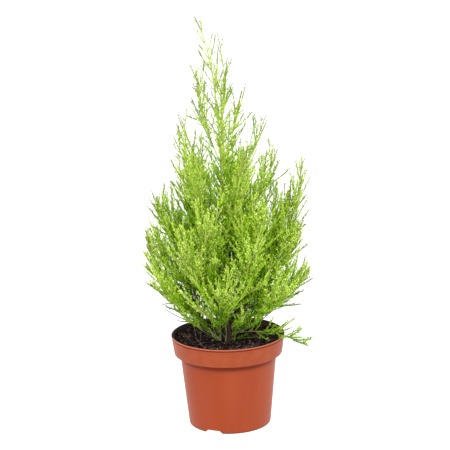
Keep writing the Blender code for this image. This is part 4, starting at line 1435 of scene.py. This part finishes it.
# A few longer shoots stand out alone at the crown's edge and give it its ragged outline. Each is
# set on the plume's stem that passes behind its foot.
EDGE_SHOOT_SEED = 8000
# The edge shoots are tinted darker: painted shade of the crown's backlit outline
EDGE_SHOOT_SHADE = -1.7
EDGE_SHOOT_RADIUS = 0.72 * MM
EDGE_SHOOT_LIFT = 0.16
# Tips and feet, as (x, z) in millimetres seen from the front
EDGE_SHOOTS = [
    ((-2.5, 413.1), (-10.3, 389.3)), ((-24.3, 399.9), (-12.1, 376.7)), ((-2.0, 394.3), (-6.8, 352.9)),
    ((6.7, 386.9), (1.9, 335.2)), ((-33.4, 380.6), (-5.6, 326.2)), ((1.7, 368.8), (0.8, 344.5)),
    ((11.2, 354.8), (4.0, 340.4)), ((17.8, 355.9), (15.8, 317.7)), ((-30.9, 353.3), (-11.8, 293.0)),
    ((-22.8, 343.1), (-13.3, 333.0)), ((-34.0, 329.7), (-24.0, 322.7)), ((-43.8, 326.0), (-36.8, 291.1)),
    ((21.4, 332.1), (20.4, 306.0)), ((30.5, 330.5), (22.9, 306.0)), ((46.1, 323.5), (38.1, 285.0)),
    ((-56.1, 284.9), (-44.0, 262.0)), ((-73.0, 254.9), (-58.0, 232.0)), ((-60.3, 259.7), (-54.0, 232.0)),
    ((-78.5, 235.8), (-62.0, 215.0)), ((-78.8, 217.7), (-62.0, 198.0)), ((-81.3, 205.8), (-64.0, 190.0)),
    ((-84.2, 194.8), (-66.0, 178.0)), ((-85.0, 172.5), (-62.0, 152.0)), ((-85.6, 156.9), (-62.0, 140.0)),
    ((-66.7, 127.4), (-44.0, 118.0)), ((50.9, 282.6), (40.0, 262.0)), ((54.0, 268.0), (46.0, 248.0)),
    ((67.0, 271.3), (54.0, 245.0)), ((69.3, 262.1), (58.0, 235.0)), ((83.3, 247.2), (70.0, 228.0)),
    ((78.6, 229.5), (66.0, 205.0)), ((83.8, 214.4), (66.0, 192.0)), ((85.7, 192.0), (66.0, 172.0)),
    ((86.0, 162.3), (62.0, 148.0)), ((89.1, 154.6), (64.0, 142.0)), ((83.1, 142.5), (58.0, 128.0)),
    ((79.9, 126.1), (52.0, 118.0)), ((63.3, 107.7), (48.0, 100.0)),
]
# From where the edge is seen, and how much a stem's distance from the middle plane counts against it
EYE = Vector((0, -1.6303, 0.6058))
OFF_PLANE = 0.12
SHOOT_GREEN = (0.250, 0.390, 0.030, 1)


def seen_from_eye(point, depth):
    """Where the line from the eye through a point meets the upright plane at a depth."""
    return EYE + (point - EYE) * ((depth - EYE.y) / (point.y - EYE.y))


def distance_seen(point, place):
    return (seen_from_eye(point, 0) - place).length + OFF_PLANE * abs(point.y)


edge_shoots = []
for number, ends in enumerate(EDGE_SHOOTS):
    tip, foot = (Vector((x * MM, 0, z * MM)) for x, z in ends)
    root = nearest_on_stems(foot, distance_seen)
    end = seen_from_eye(tip, root.y * 0.9)
    # Painted shade on the edge shoots
    look = {"radius": EDGE_SHOOT_RADIUS, "tint": EDGE_SHOOT_SHADE}
    seed = EDGE_SHOOT_SEED + number
    edge_shoots.append(shoot_to(end, root, EDGE_SHOOT_LIFT, 0.9, False, seed, **look))
inner = joined(plume_shoots + single_shoots + limb_shoots)
edge = joined(edge_shoots)
shoots = joined([inner, edge])
shoot_green = finish("shoot_green", SHOOT_GREEN, 0.65, Specular_IOR_Level=0.1)
mesh_of_triangles("side_shoots", *tubes(shoots, 5, 3), shoot_green)

# Branchlets stand left and right on every shoot, and fine shootlets on both. They are thin and
# green, and hidden by their leaves.
BRANCHLETS = Growth(
    spacing=3.9 * MM, first=0.08, last=0.92, angle=math.radians(42), long=0.22, short=0.10,
    shortest=2.0 * MM, longest=9 * MM, lift=0.12, upright=0.14, twist=0.4, radius=0.40 * MM,
    fade=0.6, tint_spread=0.4, thin=0.30, seed=71,
)
SHOOTLETS = Growth(
    spacing=4.4 * MM, first=0.16, last=0.85, angle=math.radians(45), long=0.30, short=0.12,
    shortest=1.4 * MM, longest=3.0 * MM, lift=0.1, upright=0.15, twist=0.5, radius=0.28 * MM,
    fade=0.3, tint_spread=0.7, thin=0.85, seed=72,
)

inner_branchlets = grown_on(inner, BRANCHLETS)
edge_branchlets = grown_on(edge, BRANCHLETS._replace(seed=74))
branchlets = joined([inner_branchlets, edge_branchlets])
shootlets = grown_on(joined([shoots, branchlets]), SHOOTLETS)
mesh_of_triangles("branchlets", *tubes(branchlets, 2, 3), shoot_green)
mesh_of_triangles("shootlets", *tubes(shootlets, 1, 3), shoot_green)

# Small pointed scale leaves clothe all the shoots in crossed pairs. They are soft and yellow-green,
# lighter at the outside and darker within as painted shade, and the blunt tips of the outer shoots
# are olive, partly as painted shade of the crown's backlit outline.
LEAF_SPACING = 1.15 * MM
LEAF_LENGTH = 1.85 * MM
LEAF_LENGTH_SHARES = (0.75, 1.12)
LEAF_WIDTH = 0.84 * MM
LEAF_WIDEST = 0.4
LEAF_HOLLOW = 0.18 * MM
LEAF_SEAT = 0.7
LEAF_ANGLES = (math.radians(23), math.radians(21))
LEAF_ANGLE_SPREAD = 0.07
LEAF_TURN_SPREAD = 0.25
LEAF_TURN_BY_SHOOT = 0.7
BLUNT_FROM = 0.70
BLUNT_ANGLE = math.radians(9)
BLUNT_WIDTH = 1.6
LEAVES_A_PIECE = 90000
LEAF_FACES = np.array([(0, 1, 2), (0, 2, 3)])
# One leaf green in steps of painted shade and light, from sunless up to fresh, and olive for the tips
TINTS = {
    "sunless": (0.034, 0.052, 0.004, 1),
    "shaded": (0.044, 0.140, 0.001, 1),
    "deep": (0.130, 0.340, 0.002, 1),
    "mid": (0.330, 0.600, 0.010, 1),
    "lime": (0.575, 0.790, 0.070, 1),
    "fresh": (0.755, 0.920, 0.200, 1),
    "olive": (0.190, 0.225, 0.060, 1),
}
OLIVE = 6
INNER_OLIVE = 0.05
HIGH_OLIVE = 0.7
# More olive at the crown's left and right outline: painted shade of the backlit edge
SIDE_OLIVE_SHADE = 0.2
SIDE_FROM = 0.75
OLIVE_HEIGHTS = (250 * MM, 340 * MM)
# The crown's edge, as shares of its radius
EDGE_SHARES = (0.78, 0.94)
STEM_END = 0.4
STEM_END_SEED = 8900
STEM_END_RADIUS = 0.45 * BOUGH_TIP_RADIUS
STEM_END_TINT = -1
# The leaves on the rim bough's stem are tinted dark: painted shade over the soil
RIM_STEM_SHADE = -2.4


def stem_ends():
    """The last lengths of the plumes' stems, which leaves clothe too."""
    ends = []
    for plume in plumes:
        on_rim = plume.name == "rim"
        first = plume.bare if on_rim else STEM_END
        rest = 1 - first
        turn = (plume.tip - 2 * plume.bend + plume.foot) * rest**2
        run = 2 * ((plume.bend - plume.foot) * rest + (plume.tip - plume.bend) * first) * rest
        # The rim bough's stem gets painted shade
        look = {"radius": STEM_END_RADIUS, "tint": RIM_STEM_SHADE if on_rim else STEM_END_TINT}
        root, seed = stem_point(plume, first), STEM_END_SEED + plume.number
        end = one_shoot(root, run.normalized(), run.length, 0, 1, False, seed, **look)
        ends.append(end._replace(bow=np.array([turn / run.length])))
    return joined(ends)


def leaves_on(shoots, seed, bare=0.0, olive=0.0):
    """The four corners of every scale leaf on these shoots, and its tint. The share of them that
    end in olive grows high up and at the crown's edge, and more at its left and right sides; this
    olive is partly painted shade of the crown's backlit outline."""
    draw = np.random.default_rng(seed)
    nodes = np.maximum(2, (shoots.length * (1 - bare) / LEAF_SPACING).astype(int))
    owner, step = numbered(nodes)
    s = bare + (1 - bare) * (step + 0.5) / nodes[owner]
    owner, s, step = (np.repeat(values, 2) for values in (owner, s, step))
    n = len(owner)
    pair = np.tile([0.0, math.pi], n // 2)
    heading = heading_along(shoots, owner, s)
    across, over = frame_about(heading)
    turn = pair + step * math.pi / 2 + owner * LEAF_TURN_BY_SHOOT + draw.normal(0, LEAF_TURN_SPREAD, n)
    outward = across * np.cos(turn)[:, None] + over * np.sin(turn)[:, None]
    tips = tips_of(shoots)
    at_edge = share_between(from_axis(tips) / crown_radius(tips[:, 2]), *EDGE_SHARES)
    high = share_between(tips[:, 2], *OLIVE_HEIGHTS)
    to_side = share_between(np.abs(tips[:, 0]) / np.hypot(tips[:, 0], tips[:, 1]), SIDE_FROM, 1)
    olive = (olive + (1 - olive) * HIGH_OLIVE * high) * np.maximum(at_edge, high)
    olive = np.minimum(1, olive + SIDE_OLIVE_SHADE * at_edge * to_side)
    blunt = (s > BLUNT_FROM) & (draw.random(len(nodes)) < olive)[owner]
    angle = part_way(LEAF_ANGLES, s**2) + draw.normal(0, LEAF_ANGLE_SPREAD, n) + BLUNT_ANGLE * blunt
    reach = LEAF_LENGTH * draw.uniform(*LEAF_LENGTH_SHARES, n)
    leaf = heading * np.cos(angle)[:, None] + outward * np.sin(angle)[:, None]
    leaf *= reach[:, None]
    wide = np.cross(heading, outward) * (LEAF_WIDTH / 2 * np.where(blunt, BLUNT_WIDTH, 1))[:, None]
    seat = along(shoots, owner, s) + outward * (shoots.radius[owner] * LEAF_SEAT)[:, None]
    middle = seat + leaf * LEAF_WIDEST - outward * LEAF_HOLLOW
    corners = np.stack([seat, middle + wide, seat + leaf, middle - wide], axis=1)
    tint = np.clip(np.rint(shoots.tint[owner]) + 1, 0, OLIVE - 1).astype(int)
    return corners, np.where(blunt, OLIVE, tint)


leaf_sets = [
    leaves_on(joined([slender, spreading, fans]), 500, bare=0.45, olive=INNER_OLIVE),
    leaves_on(inner, 501, bare=0.12, olive=INNER_OLIVE),
    leaves_on(inner_branchlets, 502, olive=INNER_OLIVE),
    leaves_on(edge, 504, bare=0.12, olive=1.0),
    leaves_on(edge_branchlets, 505, olive=0.8),
    leaves_on(shootlets, 503),
    leaves_on(stem_ends(), 506, olive=0.8),
]
corners, tint_of_leaf = (np.concatenate(values) for values in zip(*leaf_sets))
for index, (tint, colour) in enumerate(TINTS.items()):
    leaf_green = finish(f"leaf_{tint}", colour, 0.6, Specular_IOR_Level=0.07)
    chosen = corners[tint_of_leaf == index]
    for number, start in enumerate(range(0, len(chosen), LEAVES_A_PIECE)):
        part = chosen[start : start + LEAVES_A_PIECE]
        triangles = (LEAF_FACES + np.arange(len(part))[:, None, None] * 4).reshape(-1, 3)
        mesh_of_triangles(f"leaves_{tint}_{number + 1}", part.reshape(-1, 3), triangles, leaf_green)

# The studio: a plain pale floor that runs out of sight, soft light from all round, and a large
# soft light from the front right. The camera looks down a little from far in front.
WHITE = (1, 1, 1, 1)
FLOOR_GREY = (0.10, 0.10, 0.10, 1)
FLOOR_HALF = 6.0
FLOOR_GLOW = 1.15
SKY_LIGHT = 1.22
# Name, place, size and power of each lamp
LAMPS = [("key", (0.8, -1.5, 1.6), 0.9, 28), ("fill", (-1.4, -1.0, 0.9), 1.0, 11)]
LAMP_AIM = Vector((0, 0, 0.2))
CAMERA_AIM = Vector((0, 0, 0.215))
CAMERA_PITCH = math.radians(13.48)
CAMERA_DISTANCE = 1.6764
CAMERA_ROLL = math.radians(1.54)
CAMERA_LENS = 128.7

pale_floor = finish("pale_floor", FLOOR_GREY, 0.9, Emission_Color=WHITE, Emission_Strength=FLOOR_GLOW)
floor = placed("studio_floor", bpy.data.meshes.new("studio_floor"))
floor_corners = [(-1, -1, 0), (1, -1, 0), (1, 1, 0), (-1, 1, 0)]
floor.data.from_pydata([tuple(FLOOR_HALF * c for c in p) for p in floor_corners], [], [(0, 1, 2, 3)])
floor.data.materials.append(pale_floor)

world = bpy.data.worlds.new("soft_sky")
world.use_nodes = True
feed(world.node_tree.nodes["Background"], Color=WHITE, Strength=SKY_LIGHT)
bpy.context.scene.world = world

for name, place, size, power in LAMPS:
    light = bpy.data.lights.new(name, "AREA")
    light.shape = "DISK"
    light.size = size
    light.energy = power
    lamp = placed(name, light)
    lamp.location = place
    lamp.rotation_euler = (LAMP_AIM - Vector(place)).to_track_quat("-Z", "Y").to_euler()

eye = CAMERA_AIM + CAMERA_DISTANCE * Vector((0, -math.cos(CAMERA_PITCH), math.sin(CAMERA_PITCH)))
camera = placed("camera", bpy.data.cameras.new("camera"))
camera.data.lens = CAMERA_LENS
camera.data.sensor_width = 36
camera.data.clip_start = 0.05
gaze = (CAMERA_AIM - eye).to_track_quat("-Z", "Y").to_matrix().to_4x4()
camera.matrix_world = Matrix.Translation(eye) @ gaze @ Matrix.Rotation(-CAMERA_ROLL, 4, "Z")
bpy.context.scene.camera = camera
bpy.context.scene.view_settings.view_transform = "Standard"
